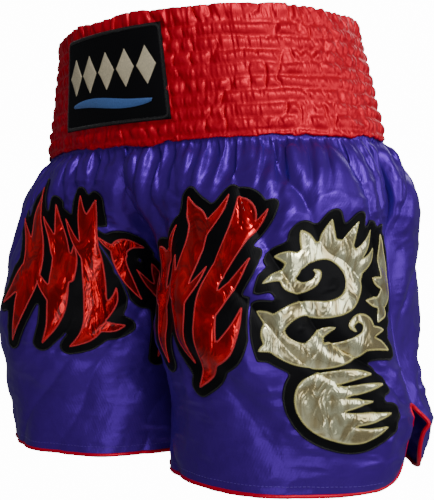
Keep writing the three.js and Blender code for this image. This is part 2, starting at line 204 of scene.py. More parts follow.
class Form:
    """The shorts' mean surface. s runs from the inner front edge (-1) by the side seam (0)
    to the inner back edge (1), and z is the height before the waist's tilt."""

    def __init__(self, k):
        self.k = k
        self.band = k.header_height + k.elastic_count * k.channel_height + k.seam_lap
        self.skirt = k.total_length - self.band
        self.vent_top = k.vent_height - k.total_length
        rows = [(0.0, k.waist_width, k.waist_depth), (-self.band, k.seam_width, k.seam_depth)]
        rows += [(-self.band - part * self.skirt, w, d) for part, w, d in BODY_LEVELS]
        table = np.array(rows)
        self.z = table[:, 0]
        self.size = table[:, 1:]
        before = np.maximum(np.arange(len(table)) - 1, 0)
        after = np.minimum(np.arange(len(table)) + 1, len(table) - 1)
        gap = (self.z[after] - self.z[before])[:, None]
        self.slope = (self.size[after] - self.size[before]) / gap

    def half_sizes(self, z):
        """Half width and half depth: straight down the waistband, then cubic Hermite."""
        i = np.clip(np.searchsorted(-self.z, -z, side="right") - 1, 0, len(self.z) - 2)
        span = (self.z[i + 1] - self.z[i])[..., None]
        t = (z - self.z[i])[..., None] / span
        a, b = self.size[i], self.size[i + 1]
        curve = ((2 * t**3 - 3 * t**2 + 1) * a + (t**3 - 2 * t**2 + t) * span * self.slope[i]
                 + (3 * t**2 - 2 * t**3) * b + (t**3 - t**2) * span * self.slope[i + 1])
        size = np.where((i == 0)[..., None], a + (b - a) * t, curve)
        return size[..., 0], size[..., 1]

    def leg_share(self, z):
        """0 where the section is half a torso, 1 where it is a whole leg."""
        return ease((-self.band - z) / self.k.rise_depth)

    def point(self, side, s, z, back=False):
        """A half ellipse round the torso that turns into a whole ellipse round the leg.
        The sides flare by the vents, the back panels more than the front ones."""
        k = self.k
        s, z = np.broadcast_arrays(np.asarray(s, float), np.asarray(z, float))
        width, depth = self.half_sizes(z)
        leg = self.leg_share(z)
        parted = ease((-self.band - 0.9 * k.rise_depth - z) / k.parting)
        inner = 0.15 * MM + (k.leg_gap - 0.15 * MM) * parted
        radius = (width - inner) / 2
        quarter = s * math.pi / 2
        leg_x = inner + radius + radius * np.cos(2 * quarter)
        y = depth * ((1 - leg) * np.sin(quarter) + leg * np.sin(2 * quarter))
        tilt = np.clip((z + self.band + k.tilt_fade) / k.tilt_fade, 0, 1) * k.waist_tilt
        splay = ease((self.vent_top + 0.6 * k.vent_height - z) / k.vent_height)
        split = np.sin(math.pi / 2 * np.clip((self.vent_top - z) / (0.4 * k.vent_height), 0, 1))
        flare = (k.side_flare * splay + back * k.back_flare * split) * (1 - ease(np.abs(s) / 0.32))
        x = (1 - leg) * width * np.cos(quarter) + leg * leg_x + flare
        return np.stack([side * x, y, z + tilt * y], -1)

    def cloth_per_unit(self, s, z):
        """Metres of cloth for each unit of s."""
        step = 0.01
        gap = self.point(LEFT, s + step, z) - self.point(LEFT, s, z)
        return np.linalg.norm(gap, axis=-1) / step

    def warped(self, s, z):
        """s moved backwards by the side seam, which leans to the back on its way down."""
        shift = self.k.seam_lean * ease((-self.band - 0.05 - z) / 0.15)
        return s + shift * (1 - np.abs(s)) ** 2

    def unwarped(self, s, z):
        """The s that warping moves to a given one, by repeated correction."""
        found = s
        for _ in range(6):
            found = found + s - self.warped(found, z)
        return found

    def vent_edge(self, z):
        """s of a flap's vent edge: a slit with a round top and an elliptical lower corner."""
        k = self.k
        arch = np.clip((self.vent_top - z) / k.vent_half_width, 0, 1)
        slit = k.vent_half_width * np.sqrt(1 - (1 - arch) ** 2)
        rise = np.clip((-k.total_length + k.corner_height - z) / k.corner_height, 0, 1)
        inset = slit + k.corner_width * (1 - np.sqrt(1 - rise**2))
        return inset / self.cloth_per_unit(np.full_like(z, 0.08), z)

    def waist(self, turn, z):
        """Point of the waistband; turn goes once round from the centre front, to the left."""
        wrapped = turn - np.floor(turn)
        side = np.where(wrapped <= 0.5, LEFT, RIGHT)
        from_front = np.where(wrapped <= 0.5, wrapped, 1 - wrapped)
        return self.point(side, 4 * from_front - 1, z)


def grid_normals(grid, turn):
    """Unit normals of (..., R, C, 3) grids from the cross product of their two tangents."""
    down, across = np.gradient(grid, axis=(-3, -2))
    return unit(np.cross(across, down)) * np.reshape(turn, (-1,) + (1,) * 3)


# ---- cloth that settles --------------------------------------------------------------


def pull(points, rest, axis, stiffness):
    """Moves neighbours along an axis towards their rest distance, even pairs then odd."""
    grid = np.moveaxis(points, axis, 0)
    rest = np.moveaxis(rest, axis, 0)
    count = len(grid)
    for start in (0, 1):
        a = grid[start:count - 1:2]
        b = grid[start + 1:count:2]
        gap = b - a
        size = np.sqrt(dot(gap, gap)) + 1e-12
        move = 0.5 * stiffness * (1 - rest[start:count - 1:2][..., None] / size) * gap
        a += move
        b -= move


def lean(points, base, stiffness):
    """Resists shear: moves both diagonals of each cell towards their starting lengths."""
    for first, second in ((slice(0, -1), slice(1, None)), (slice(1, None), slice(0, -1))):
        a = points[:, :-1, first]
        b = points[:, 1:, second]
        rest = np.linalg.norm(base[:, 1:, second] - base[:, :-1, first], axis=-1)[..., None]
        gap = b - a
        size = np.sqrt(dot(gap, gap)) + 1e-12
        move = 0.25 * stiffness * (1 - rest / size) * gap
        points[:, :-1, first] += move
        points[:, 1:, second] -= move


def flatten(bend, stiffness):
    """Resists bending: moves each offset towards the mean of its neighbours'."""
    for axis in (1, 2):
        grid = np.moveaxis(bend, axis, 0)
        grid[1:-1] += stiffness * ((grid[:-2] + grid[2:]) / 2 - grid[1:-1])


def settle(points, base, normals, rest_across, rest_down, limits, sew, steps,
           bend=0.12, slide=0.0035, shear=0.2):
    """Lets cloth with too much length for its form buckle into folds.

    Each step carries on the last motion, then pulls threads to their rest lengths, evens
    out bends, and holds each point's height over the form between two limits."""
    low, high = limits
    before = points.copy()
    for _ in range(steps):
        motion = 0.9 * (points - before)
        before = points.copy()
        points += motion
        for _ in range(3):
            pull(points, rest_across, 2, 0.9)
            pull(points, rest_down, 1, 0.9)
            lean(points, base, shear)
            offset = points - base
            flatten(offset, bend)
            height = dot(offset, normals)
            along = offset - height * normals
            reach = np.sqrt(dot(along, along)) + 1e-12
            along *= np.minimum(1, slide / reach)
            points[:] = base + along + np.clip(height, low, high) * normals
            sew(points)


# ---- meshes --------------------------------------------------------------------------


def new_piece(name, vertices, faces, material, uvs=None):
    """A mesh object at the origin, which rides on the one body."""
    mesh = bpy.data.meshes.new(name)
    mesh.from_pydata(vertices.reshape(-1, 3), [], faces)
    if uvs is not None:
        layer = mesh.uv_layers.new(name="cloth")
        corner = np.empty(len(mesh.loops), dtype=np.int32)
        mesh.loops.foreach_get("vertex_index", corner)
        layer.data.foreach_set("uv", uvs.reshape(-1, 2)[corner].ravel().astype(np.float32))
    mesh.polygons.foreach_set("use_smooth", [True] * len(mesh.polygons))
    mesh.materials.append(material)
    mesh.validate()
    piece = bpy.data.objects.new(name, mesh)
    bpy.context.scene.collection.objects.link(piece)
    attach(piece, "root")
    return piece


def grid_faces(rows, columns, flip=False):
    """Quads of a rows by columns grid of vertices."""
    corner = (np.arange(rows - 1)[:, None] * columns + np.arange(columns - 1)).ravel()
    quads = np.stack([corner, corner + 1, corner + columns + 1, corner + columns], 1)
    return quads[:, ::-1] if flip else quads


def rim_faces(loop, offset, flip=False):
    """Quads between a closed loop of vertices and its copy offset further on."""
    after = np.roll(loop, -1)
    quads = np.stack([loop, loop + offset, after + offset, after], 1)
    return quads[:, ::-1] if flip else quads


def border(rows, columns):
    """Vertex numbers round the edge of a grid, in order."""
    index = np.arange(rows * columns).reshape(rows, columns)
    return np.concatenate([index[0, :-1], index[:-1, -1], index[-1, :0:-1], index[:0:-1, 0]])


def sheet_piece(name, grid, normals, thickness, material, turn, uvs):
    """A grid of cloth given a thickness: outer face, inner face and a rim."""
    rows, columns = grid.shape[:2]
    count = rows * columns
    inner = grid - thickness * normals
    flip = turn < 0
    faces = np.concatenate([
        grid_faces(rows, columns, flip),
        grid_faces(rows, columns, not flip) + count,
        rim_faces(border(rows, columns), count, flip),
    ])
    vertices = np.concatenate([grid.reshape(-1, 3), inner.reshape(-1, 3)])
    return new_piece(name, vertices, faces, material, np.concatenate([uvs.reshape(-1, 2)] * 2))


def ring_piece(name, sections, material, uvs=None):
    """Closed sections (n, m, 3) joined one after another and back to the first."""
    n, m = sections.shape[:2]
    index = np.arange(n * m).reshape(n, m)
    here, after = index, np.roll(index, -1, 0)
    quads = np.stack([here, after, np.roll(after, -1, 1), np.roll(here, -1, 1)], -1)
    return new_piece(name, sections.reshape(-1, 3), quads.reshape(-1, 4), material, uvs)


def tube_mesh(path, outward, radius, sides, closed):
    """Vertices and faces of a round tube along a path, with its frame set by outward."""
    step = np.roll(path, -1, 0) - np.roll(path, 1, 0) if closed else np.gradient(path, axis=0)
    along = unit(step)
    across = unit(np.cross(along, outward))
    lift = np.cross(across, along)
    angle = (np.arange(sides) * 2 * math.pi / sides)[None, :, None]
    ring = across[:, None] * np.cos(angle) + lift[:, None] * np.sin(angle)
    vertices = path[:, None] + radius * ring
    index = np.arange(len(path) * sides).reshape(len(path), sides)
    after = np.roll(index, -1, 0)
    if not closed:
        index, after = index[:-1], after[:-1]
    quads = np.stack([index, np.roll(index, -1, 1), np.roll(after, -1, 1), after], -1)
    return vertices.reshape(-1, 3), quads.reshape(-1, 4)


def joined(parts):
    """Several (vertices, faces) pairs as one pair."""
    starts = np.cumsum([0] + [len(vertices) for vertices, _ in parts[:-1]])
    vertices = np.concatenate([part[0] for part in parts])
    return vertices, np.concatenate([faces + start for (_, faces), start in zip(parts, starts)])


# ---- materials -----------------------------------------------------------------------


class Value:
    """Wraps a socket, so that shader sums are written as Python expressions."""

    def __init__(self, tree, socket):
        self.tree = tree
        self.socket = socket

    def sum(self, operation, *others, clamp=False):
        """A Math node on this value and the others."""
        node = self.tree.nodes.new("ShaderNodeMath")
        node.operation = operation
        node.use_clamp = clamp
        for slot, item in zip(node.inputs, others):
            if isinstance(item, Value):
                self.tree.links.new(item.socket, slot)
            else:
                slot.default_value = item
        return Value(self.tree, node.outputs[0])

    def __add__(self, other):
        return self.sum("ADD", self, other)

    def __sub__(self, other):
        return self.sum("SUBTRACT", self, other)

    def __rsub__(self, other):
        return self.sum("SUBTRACT", other, self)

    def __mul__(self, other):
        return self.sum("MULTIPLY", self, other)

    __radd__ = __add__
    __rmul__ = __mul__

    def sine(self):
        """Sine of the value."""
        return self.sum("SINE", self)

    def held(self):
        """The value held between 0 and 1."""
        return self.sum("ADD", self, 0.0, clamp=True)


class Nodes:
    """A node tree, with one way to add a node and one to fill a socket."""

    def __init__(self, tree):
        self.tree = tree

    def node(self, kind, output=0, settings=None, numbered=None, **sockets):
        """Any node: its settings first, then the values or links of its sockets, which go by
        name or, where names repeat, by number."""
        node = self.tree.nodes.new("ShaderNode" + kind)
        for name, value in (settings or {}).items():
            setattr(node, name, value)
        for number, value in (numbered or {}).items():
            self.feed(node.inputs[number], value)
        for name, value in sockets.items():
            self.feed(node.inputs[name.replace("_", " ")], value)
        return Value(self.tree, node.outputs[output]) if len(node.outputs) else None

    def feed(self, slot, value):
        """Links a value to a socket, or sets it."""
        if isinstance(value, Value):
            self.tree.links.new(value.socket, slot)
        elif slot.type == "RGBA":
            slot.default_value = (*value, 1.0)
        else:
            slot.default_value = value


class Finish(Nodes):
    """A material being built: one shader and the nodes that feed it."""

    def __init__(self, name, **sockets):
        self.material = bpy.data.materials.new(name)
        self.material.use_nodes = True
        super().__init__(self.material.node_tree)
        self.shader = self.tree.nodes["Principled BSDF"]
        self.set(**sockets)

    def set(self, **sockets):
        """Sets or links the shader's own sockets."""
        for name, value in sockets.items():
            self.feed(self.shader.inputs[name.replace("_", " ")], value)

    def cloth_place(self, scale_across, scale_down):
        """The cloth's own UV map, in metres, times a scale."""
        uv = self.node("UVMap", settings={"uv_map": "cloth"})
        return self.node("Mapping", Vector=uv, Scale=(scale_across, scale_down, 1.0))

    def place(self, scale):
        """Object coordinates times a scale."""
        where = self.node("TexCoord", output="Object")
        return self.node("Mapping", Vector=where, Scale=(scale, scale, scale))

    def noise(self, vector, detail=3.0, roughness=0.5, distortion=0.0):
        """Fractal noise from 0 to 1."""
        return self.node("TexNoise", Vector=vector, Scale=1.0, Detail=detail,
                         Roughness=roughness, Distortion=distortion)

    def mix(self, factor, first, second):
        """A colour between two."""
        return self.node("Mix", output=2, settings={"data_type": "RGBA"},
                         numbered={0: factor, 6: first, 7: second})

    def bump(self, height, distance, strength=1.0):
        """Bump from a height, into the shader's normal."""
        self.set(Normal=self.node("Bump", Height=height, Distance=distance, Strength=strength))


def shade(rgb, factor):
    """A colour times a factor, held to 1."""
    return tuple(min(1.0, channel * factor) for channel in rgb)


def satin(name, rgb, gloss=0.36, weave=1.0, crinkle=1.0, lustre=0.4):
    """Woven satin: fine twill lines, small crinkles and a cloudy, cloth-coloured gloss."""
    finish = Finish(name, Specular_IOR_Level=0.15, Metallic=lustre)
    threads = finish.cloth_place(2600.0, 2600.0)
    weft, warp = (finish.node("SeparateXYZ", output=axis, Vector=threads) for axis in (0, 1))
    twill = (weft + warp * 0.35).sine() * 0.5 + warp.sine() * 0.25
    clouds = finish.noise(finish.cloth_place(55.0, 34.0), detail=4.0, distortion=0.6)
    crumple = finish.noise(finish.cloth_place(170.0, 110.0), detail=3.0, distortion=0.8)
    finish.set(Base_Color=finish.mix(clouds, shade(rgb, 0.85), shade(rgb, 1.15)),
               Roughness=clouds * 0.10 + crumple * 0.08 + (gloss - 0.09))
    finish.bump(twill * (0.00002 * weave) + crumple * (0.0004 * crinkle)
                + clouds * (0.0006 * crinkle), 1.0)
    return finish.material


def foil(name, rgb, crease):
    """Mirror foil over cloth: metal gloss, wandering creases and fine dimples, with painted
    reflections: bright and dark patches in its colour that follow the creases.
    """
    finish = Finish(name, Metallic=0.85, Coat_Weight=0.25, Coat_Roughness=0.08)
    crease_and_glint_waves = finish.noise(finish.cloth_place(60.0, 42.0), detail=2.0, distortion=1.2)
    dimples = finish.noise(finish.cloth_place(420.0, 420.0), detail=2.0)
    # Painted reflections: bright and dark patches that follow the creases, between a darkened and a
    # brightened copy of the foil colour.
    painted_reflections = ((crease_and_glint_waves - 0.5) * 5.0 + 0.5).held()
    finish.set(Base_Color=finish.mix(painted_reflections, shade(rgb, 0.6), shade(rgb, 1.5)),
               Roughness=dimples * 0.08 + 0.16)
    finish.bump(crease_and_glint_waves * crease + dimples * 0.00005, 1.0)
    return finish.material


def thread(name, rgb, gloss=0.42):
    """Twisted rayon thread: fine slanted strands and a soft gloss."""
    finish = Finish(name, Specular_IOR_Level=0.5, Sheen_Weight=0.2)
    grain = finish.noise(finish.place(900.0), detail=2.0)
    finish.set(Base_Color=finish.mix(grain, shade(rgb, 0.6), shade(rgb, 1.3)), Roughness=gloss)
    finish.bump(grain * 0.0001, 1.0)
    return finish.material


def woven_elastic():
    """Braided elastic: ribs across fine cords."""
    finish = Finish("woven_elastic", Roughness=0.85)
    ribs = finish.noise(finish.place(600.0), detail=2.0)
    finish.set(Base_Color=finish.mix(ribs, (0.62, 0.60, 0.56), (0.85, 0.83, 0.79)))
    finish.bump(ribs * 0.0002, 1.0)
    return finish.material


CLOTHS = {}


def material(name):
    """The named material, made once."""
    c = colours()
    makers = {
        "blue_satin": lambda: satin(name, c.body, gloss=0.37, crinkle=0.6, lustre=0.6),
        "red_satin": lambda: satin(name, c.band, gloss=0.42, crinkle=0.6, lustre=0.5),
        "black_satin": lambda: satin(name, c.backing, gloss=0.5, crinkle=0.5),
        "label_weave": lambda: satin(name, shade(c.backing, 1.3), gloss=0.62, weave=2.5, crinkle=0.3),
        "red_cord": lambda: satin(name, c.piping, gloss=0.4, crinkle=0.5),
        "red_foil": lambda: foil(name, c.red_foil, 0.0030),
        "gold_foil": lambda: foil(name, c.gold_foil, 0.0022),
        "red_stitch": lambda: thread(name, c.red_thread),
        "gold_stitch": lambda: thread(name, c.gold_thread, 0.35),
        "black_stitch": lambda: thread(name, shade(c.backing, 1.6), 0.6),
        "blue_stitch": lambda: thread(name, shade(c.body, 1.2)),
        "cream_thread": lambda: thread(name, c.cream_thread, 0.5),
        "blue_thread": lambda: thread(name, c.blue_thread, 0.5),
        "woven_elastic": woven_elastic,
    }
    if name not in CLOTHS:
        CLOTHS[name] = makers[name]()
    return CLOTHS[name]


# ---- body cloth ----------------------------------------------------------------------

PANELS = ("front_panel_left", "back_panel_left", "front_panel_right", "back_panel_right")
PANEL_TURN = np.array([-1, 1, 1, -1])  # which way each panel's grid faces
PANEL_SIDE = (LEFT, LEFT, RIGHT, RIGHT)
PANEL_FACE = (-1, 1, -1, 1)  # sign of s: front, back


class BodyCloth:
    """Four panel grids (panel, row, column). Columns run from the inner edge to the side
    seam, and rows from inside the waistband to the hem."""

    def __init__(self, form, rows, columns):
        k = form.k
        self.form = form
        top = -form.band + 0.8 * k.seam_lap
        self.z = np.linspace(top, -k.total_length, rows)[:, None] * np.ones((1, columns))
        edge = form.vent_edge(self.z)
        part = np.linspace(0, 1, columns)[None, :]
        self.s = 1 - (1 - edge) * part
        self.drop = -form.band - self.z
        tuck = 1.3 * MM * (1 - ease((self.drop - 0.002) / 0.012))
        base = np.stack([form.point(side, form.warped(face * self.s, self.z), self.z, face > 0)
                         for side, face in zip(PANEL_SIDE, PANEL_FACE)])
        self.normals = grid_normals(base, PANEL_TURN)
        self.base = base - tuck[None, ..., None] * self.normals
        self.waist_rows = int((self.drop[:, 0] < 0.0005).sum())
        self.vent_rows = int((self.z[:, 0] >= form.vent_top).sum())
        self.crotch_rows = int((form.leg_share(self.z[:, 0]) < 0.9995).sum())
        self.sew(self.base)

    def sewn_normals(self, normals):
        """Mean of both panels' normals along the seams."""
        self.sew(normals)
        return unit(normals)

    def sew(self, grids):
        """Averages the panels' edges where seams join them."""
        v, c = self.vent_rows, self.crotch_rows
        for a, b, rows, column in (
                (0, 1, slice(0, v), -1), (2, 3, slice(0, v), -1),
                (0, 2, slice(0, c), 0), (1, 3, slice(0, c), 0),
                (0, 1, slice(c, None), 0), (2, 3, slice(c, None), 0)):
            mean = (grids[a, rows, column] + grids[b, rows, column]) / 2
            grids[a, rows, column] = mean
            grids[b, rows, column] = mean

    def hold(self, points):
        """Sews the seams and keeps the top rows inside the waistband."""
        self.sew(points)
        points[:, :self.waist_rows] = self.base[:, :self.waist_rows]
        points[:, -1, :, 2] = self.base[:, -1, :, 2]
        slit = (slice(None), slice(self.vent_rows, None), slice(-2, None))
        height = dot(points[slit] - self.base[slit], self.normals[slit])
        points[slit] = self.base[slit] + height * self.normals[slit]

    def art(self):
        """Applique coordinates of every grid point of a front panel."""
        across = ART_ACROSS * (1 + self.form.warped(-self.s, self.z))
        return across, ART_DOWN * self.drop / self.form.skirt


def panel_noise(cloth, across, down, slant, seed):
    """Noise for the four panels: cells of across by down metres, slanted with the drop."""
    arc = (1 - cloth.s) * PANEL_ARC
    fields = []
    for number in range(4):
        u = (arc - slant * cloth.drop) / across
        fields.append(smooth_noise(u + 17 * number, cloth.drop / down + 31 * number, seed))
    return np.stack(fields)


def fold_seed(cloth, seed):
    """Starting folds: tight gathers at the waistband that open into broad slanted drapes."""
    near = np.exp(-cloth.drop / 0.050)[None]
    gathers = panel_noise(cloth, 0.019, 0.12, 0.12, seed) * near
    drapes = panel_noise(cloth, 0.028, 0.13, 0.60, seed + 1) * (1 - 0.35 * near)
    cross = panel_noise(cloth, 0.060, 0.024, -0.6, seed + 2) * (1 - near)
    return (3.6 * gathers + 9.0 * drapes + 2.5 * cross) * MM


def ground_distance(cloth):
    """Distance outside the applique grounds of each panel, in applique units."""
    across, down = cloth.art()
    maps = [np.full(cloth.s.shape, 60.0) for _ in PANELS]
    for panel, strokes in (FLAMES | SCROLLS).values():
        maps[panel] = np.minimum(maps[panel], stroke_distance(across, down, strokes) - 8)
    return np.stack(maps)


def drape(cloth, distance, seed):
    """Broad folds over the settled cloth: pleats below the waistband with sharp valleys,
    slanted drapes that run on down the legs, and a few shallow creases across them."""
    drop = cloth.drop
    near = np.exp(-(drop / 0.050) ** 1.3)
    pleats = np.abs(panel_noise(cloth, 0.025, 0.11, 0.30, seed)) ** 0.8 - 0.45
    wander = 0.35 * panel_noise(cloth, 0.05, 0.05, 0.0, seed + 3)
    slant = 0.55 + 0.3 * ease(drop / 0.12)
    arc = (1 - cloth.s) * PANEL_ARC
    runs = np.stack([np.abs(smooth_noise((arc - slant * drop) / 0.034 + 13 * n + wander[n],
                                         drop / 0.16 + 7 * n, seed + 1)) for n in range(4)])
    runs = runs ** 0.8 - 0.4
    cross = panel_noise(cloth, 0.080, 0.020, -0.55, seed + 2)
    fade = 1 - 0.5 * ease((drop - 0.12) / 0.14)
    part = np.linspace(0, 1, cloth.s.shape[1])
    split = ease((cloth.form.vent_top + 0.01 - cloth.z) / 0.02)
    seam = ease(part / 0.05) * ease((1 - part) / (0.06 + 0.16 * split))
    free = ease(drop / 0.012)
    under = 1 - 0.35 * (1 - ease(distance / 8))
    roll = panel_noise(cloth, 0.065, 0.055, 0.3, seed + 4) * ease(drop / 0.06)
    return (5.6 * pleats * near + 9.5 * runs * fade * (1 - 0.45 * near) * under
            + 1.6 * cross * (1 - near) * under + 2.2 * roll) * MM * seam * free


def crumple(cloth, distance, seed):
    """Small creases that the coarse cloth can't hold: ridged noise, stronger by the
    appliques, by the centre front and by the side seams."""
    beside = np.exp(-(np.maximum(distance, 0) / 14) ** 2) * ease((distance + 3) / 5)
    arc = 1 - cloth.s
    sides = np.exp(-((arc - 0.93) / 0.10) ** 2)
    centre = np.exp(-(arc / 0.24) ** 2) * np.exp(-((cloth.drop - 0.045) / 0.035) ** 2)
    hem = 0.35 * ease((cloth.drop - 0.14) / 0.08)
    weight = 0.25 + 0.9 * beside + 0.8 * sides + 1.1 * centre + hem
    weight = weight * ease(cloth.drop / 0.015) * (1 - 0.85 * ease(-distance / 4))
    broad = 1 - 2 * np.abs(panel_noise(cloth, 0.020, 0.011, -0.3, seed))
    fine = 1 - 2 * np.abs(panel_noise(cloth, 0.009, 0.006, 0.5, seed + 1))
    seam = ease((1 - np.linspace(0, 1, cloth.s.shape[1])) / 0.04)[None, None]
    return weight * (0.75 * broad + 0.28 * fine) * MM * seam


def settled_points(cloth, offset, steps):
    """One size of grid, settled from the offsets of the coarser one before it."""
    k = sizes()
    base, normals = cloth.base, cloth.normals
    stiff = 1 - ease(ground_distance(cloth) / 10)
    if offset is None:
        offset = (fold_seed(cloth, k.seed) * (1 - 0.35 * stiff))[..., None] * normals
        offset[:, :cloth.waist_rows] = 0
    else:
        offset = resized(offset, cloth)
    free = ease(cloth.drop / 0.02)
    gather = 1 + (0.06 + k.body_gather * np.exp(-cloth.drop / 0.045)) * (1 - 0.35 * stiff)
    slack = 1 + 0.02 * panel_noise(cloth, 0.09, 0.09, 0.0, k.seed + 5)
    across = np.linalg.norm(np.diff(base, axis=2), axis=-1) * (gather * slack)[:, :, 1:]
    down = np.linalg.norm(np.diff(base, axis=1), axis=-1) * (1.004 + 0.4 * (slack - 1))[:, 1:]
    valley = 1 - ease((1 - cloth.s) / 0.12)
    swell = panel_noise(cloth, 0.05, 0.10, 0.5, k.seed + 6)
    high = ((1.2 + (3.4 + 3.2 * swell) * free) * (1 - 0.8 * valley) * MM)[..., None]
    low = (-(0.8 + 9.0 * free) * (1 - 0.5 * valley) * (1 - 0.3 * stiff) * MM)[..., None]
    points = base + offset
    settle(points, base, normals, across, down, (low, high), cloth.hold, steps)
    return points


def resized(offset, cloth):
    """Offsets of a coarser grid, read at every point of this one."""
    rows, columns = cloth.s.shape
    return resample(resample(offset, rows, 1), columns, 2)


def finest_cloth(form, offset):
    """The finest grid: the settled cloth, with drapes and small creases added by formula."""
    seed = sizes().seed
    cloth = BodyCloth(form, 216, 200)
    points = cloth.base + resized(offset, cloth)
    cloth.hold(points)
    normals = cloth.sewn_normals(grid_normals(points, PANEL_TURN))
    distance = ground_distance(cloth)
    height = drape(cloth, distance, seed + 21) + crumple(cloth, distance, seed + 12)
    points = points + (height - 1.0 * MM)[..., None] * normals
    cloth.hold(points)
    return cloth, points


def body_cloth():
    """The settled body: coarse grids first, then finer ones that start from them."""
    form = Form(sizes())
    levels = ((36, 40, 70), (72, 80, 45), (144, 150, 20))
    offset = None
    for columns, rows, steps in levels:
        cloth = BodyCloth(form, rows, columns)
        points = settled_points(cloth, offset, steps)
        offset = points - cloth.base
    return finest_cloth(form, offset)


# ---- pieces --------------------------------------------------------------------------

STATE = {}


def body():
    """The settled body cloth, worked out once."""
    if "body" not in STATE:
        cloth, points = body_cloth()
        STATE["body"] = cloth, points, cloth.sewn_normals(grid_normals(points, PANEL_TURN))
    return STATE["body"]


def make_panels():
    """Each panel as a sheet with its lining, sewn to its neighbours."""
    cloth, points, normals = body()
    k = sizes()
    uvs = np.stack([(1 - cloth.s) * 0.33, cloth.drop], -1)
    for number, name in enumerate(PANELS):
        piece = sheet_piece("satin_" + name, points[number], normals[number], k.cloth,
                            material("blue_satin"), PANEL_TURN[number], uvs)
        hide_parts(name)


# ---- appliques -----------------------------------------------------------------------

# Tapered strokes as (across, down, half width) in applique units.
FLAMES = {
    "flame_outer_1": (2, (
        ((104, 31, 0.3), (111, 54, 4.5), (120, 80, 8), (132, 108, 9), (147, 136, 7),
         (160, 171, 0.3)),
        ((137, 60, 0.3), (133, 78, 4), (132, 96, 6.5), (136, 112, 7)),
        ((172, 138, 0.3), (162, 130, 3), (149, 118, 5.5), (138, 108, 6)))),
    "flame_outer_2": (2, (
        ((84, 47, 0.3), (89, 68, 4.5), (97, 92, 8.5), (106, 116, 9), (113, 138, 7.5),
         (120, 156, 4), (130, 172, 0.3)),
        ((104, 58, 0.3), (102, 74, 3.5), (102, 92, 6.5)),
        ((128, 104, 0.3), (124, 118, 4), (114, 132, 6)),
        ((80, 84, 0.3), (86, 96, 3.5), (97, 112, 6)))),
    "flame_outer_3": (2, (
        ((50, 40, 0.3), (57, 62, 5.5), (66, 86, 8), (75, 110, 8.5), (82, 134, 8.5), (87, 154, 8),
         (95, 167, 5.5), (108, 176, 0.3)),
        ((33, 44, 0.3), (42, 55, 3.5), (54, 68, 6), (66, 86, 7)),
        ((62, 122, 0.3), (68, 134, 3), (80, 146, 6)),
        ((64, 156, 0.3), (74, 158, 4), (86, 156, 6)),
        ((78, 60, 0.3), (78, 78, 3.5), (73, 96, 6)))),
    "flame_inner_1": (2, (
        ((17, 87, 0.3), (28, 83, 4), (40, 87, 5.5), (48, 99, 5.5), (50, 116, 4.5), (46, 134, 0.3)),
        ((53, 76, 0.3), (49, 84, 3), (42, 91, 5)))),
    "flame_inner_2": (2, (
        ((21, 101, 0.3), (23, 113, 4.5), (27, 132, 5.5), (32, 152, 5), (37, 170, 3),
         (41, 186, 0.3)),
        ((38, 106, 0.3), (35, 118, 3), (29, 131, 5)))),
    "flame_left_1": (0, (
        ((130, 47, 0.3), (140, 57, 7), (148, 71, 10.5), (150, 92, 9), (148, 116, 7.5),
         (153, 142, 8.5), (156, 163, 8), (150, 181, 5), (139, 194, 0.3)),
        ((170, 94, 0.3), (167, 110, 3.5), (160, 125, 6), (153, 138, 7)),
        ((178, 130, 0.3), (176, 146, 3.5), (169, 161, 6), (157, 170, 6)),
        ((162, 58, 0.3), (160, 69, 3.5), (152, 82, 6.5)))),
    "flame_left_2": (0, (
        ((85, 46, 0.3), (92, 57, 5), (103, 66, 7.5), (112, 80, 9), (117, 100, 9.5), (122, 120, 9),
         (128, 140, 7.5), (133, 160, 4.5), (140, 177, 0.3)),
        ((122, 45, 0.3), (120, 59, 4), (114, 75, 7)),
        ((97, 92, 0.3), (103, 106, 4), (115, 120, 7)),
        ((136, 100, 0.3), (134, 116, 3.5), (126, 132, 6)))),
    "flame_left_3": (0, (
        ((60, 86, 0.3), (68, 92, 5), (79, 101, 7.5), (88, 118, 8), (96, 138, 7.5), (103, 158, 5),
         (110, 178, 0.3)),
        ((82, 68, 0.3), (81, 84, 4), (82, 99, 6)),
        ((64, 108, 0.3), (72, 118, 3.5), (86, 128, 6)),
        ((103, 104, 0.3), (102, 118, 3.5), (96, 134, 6)))),
}
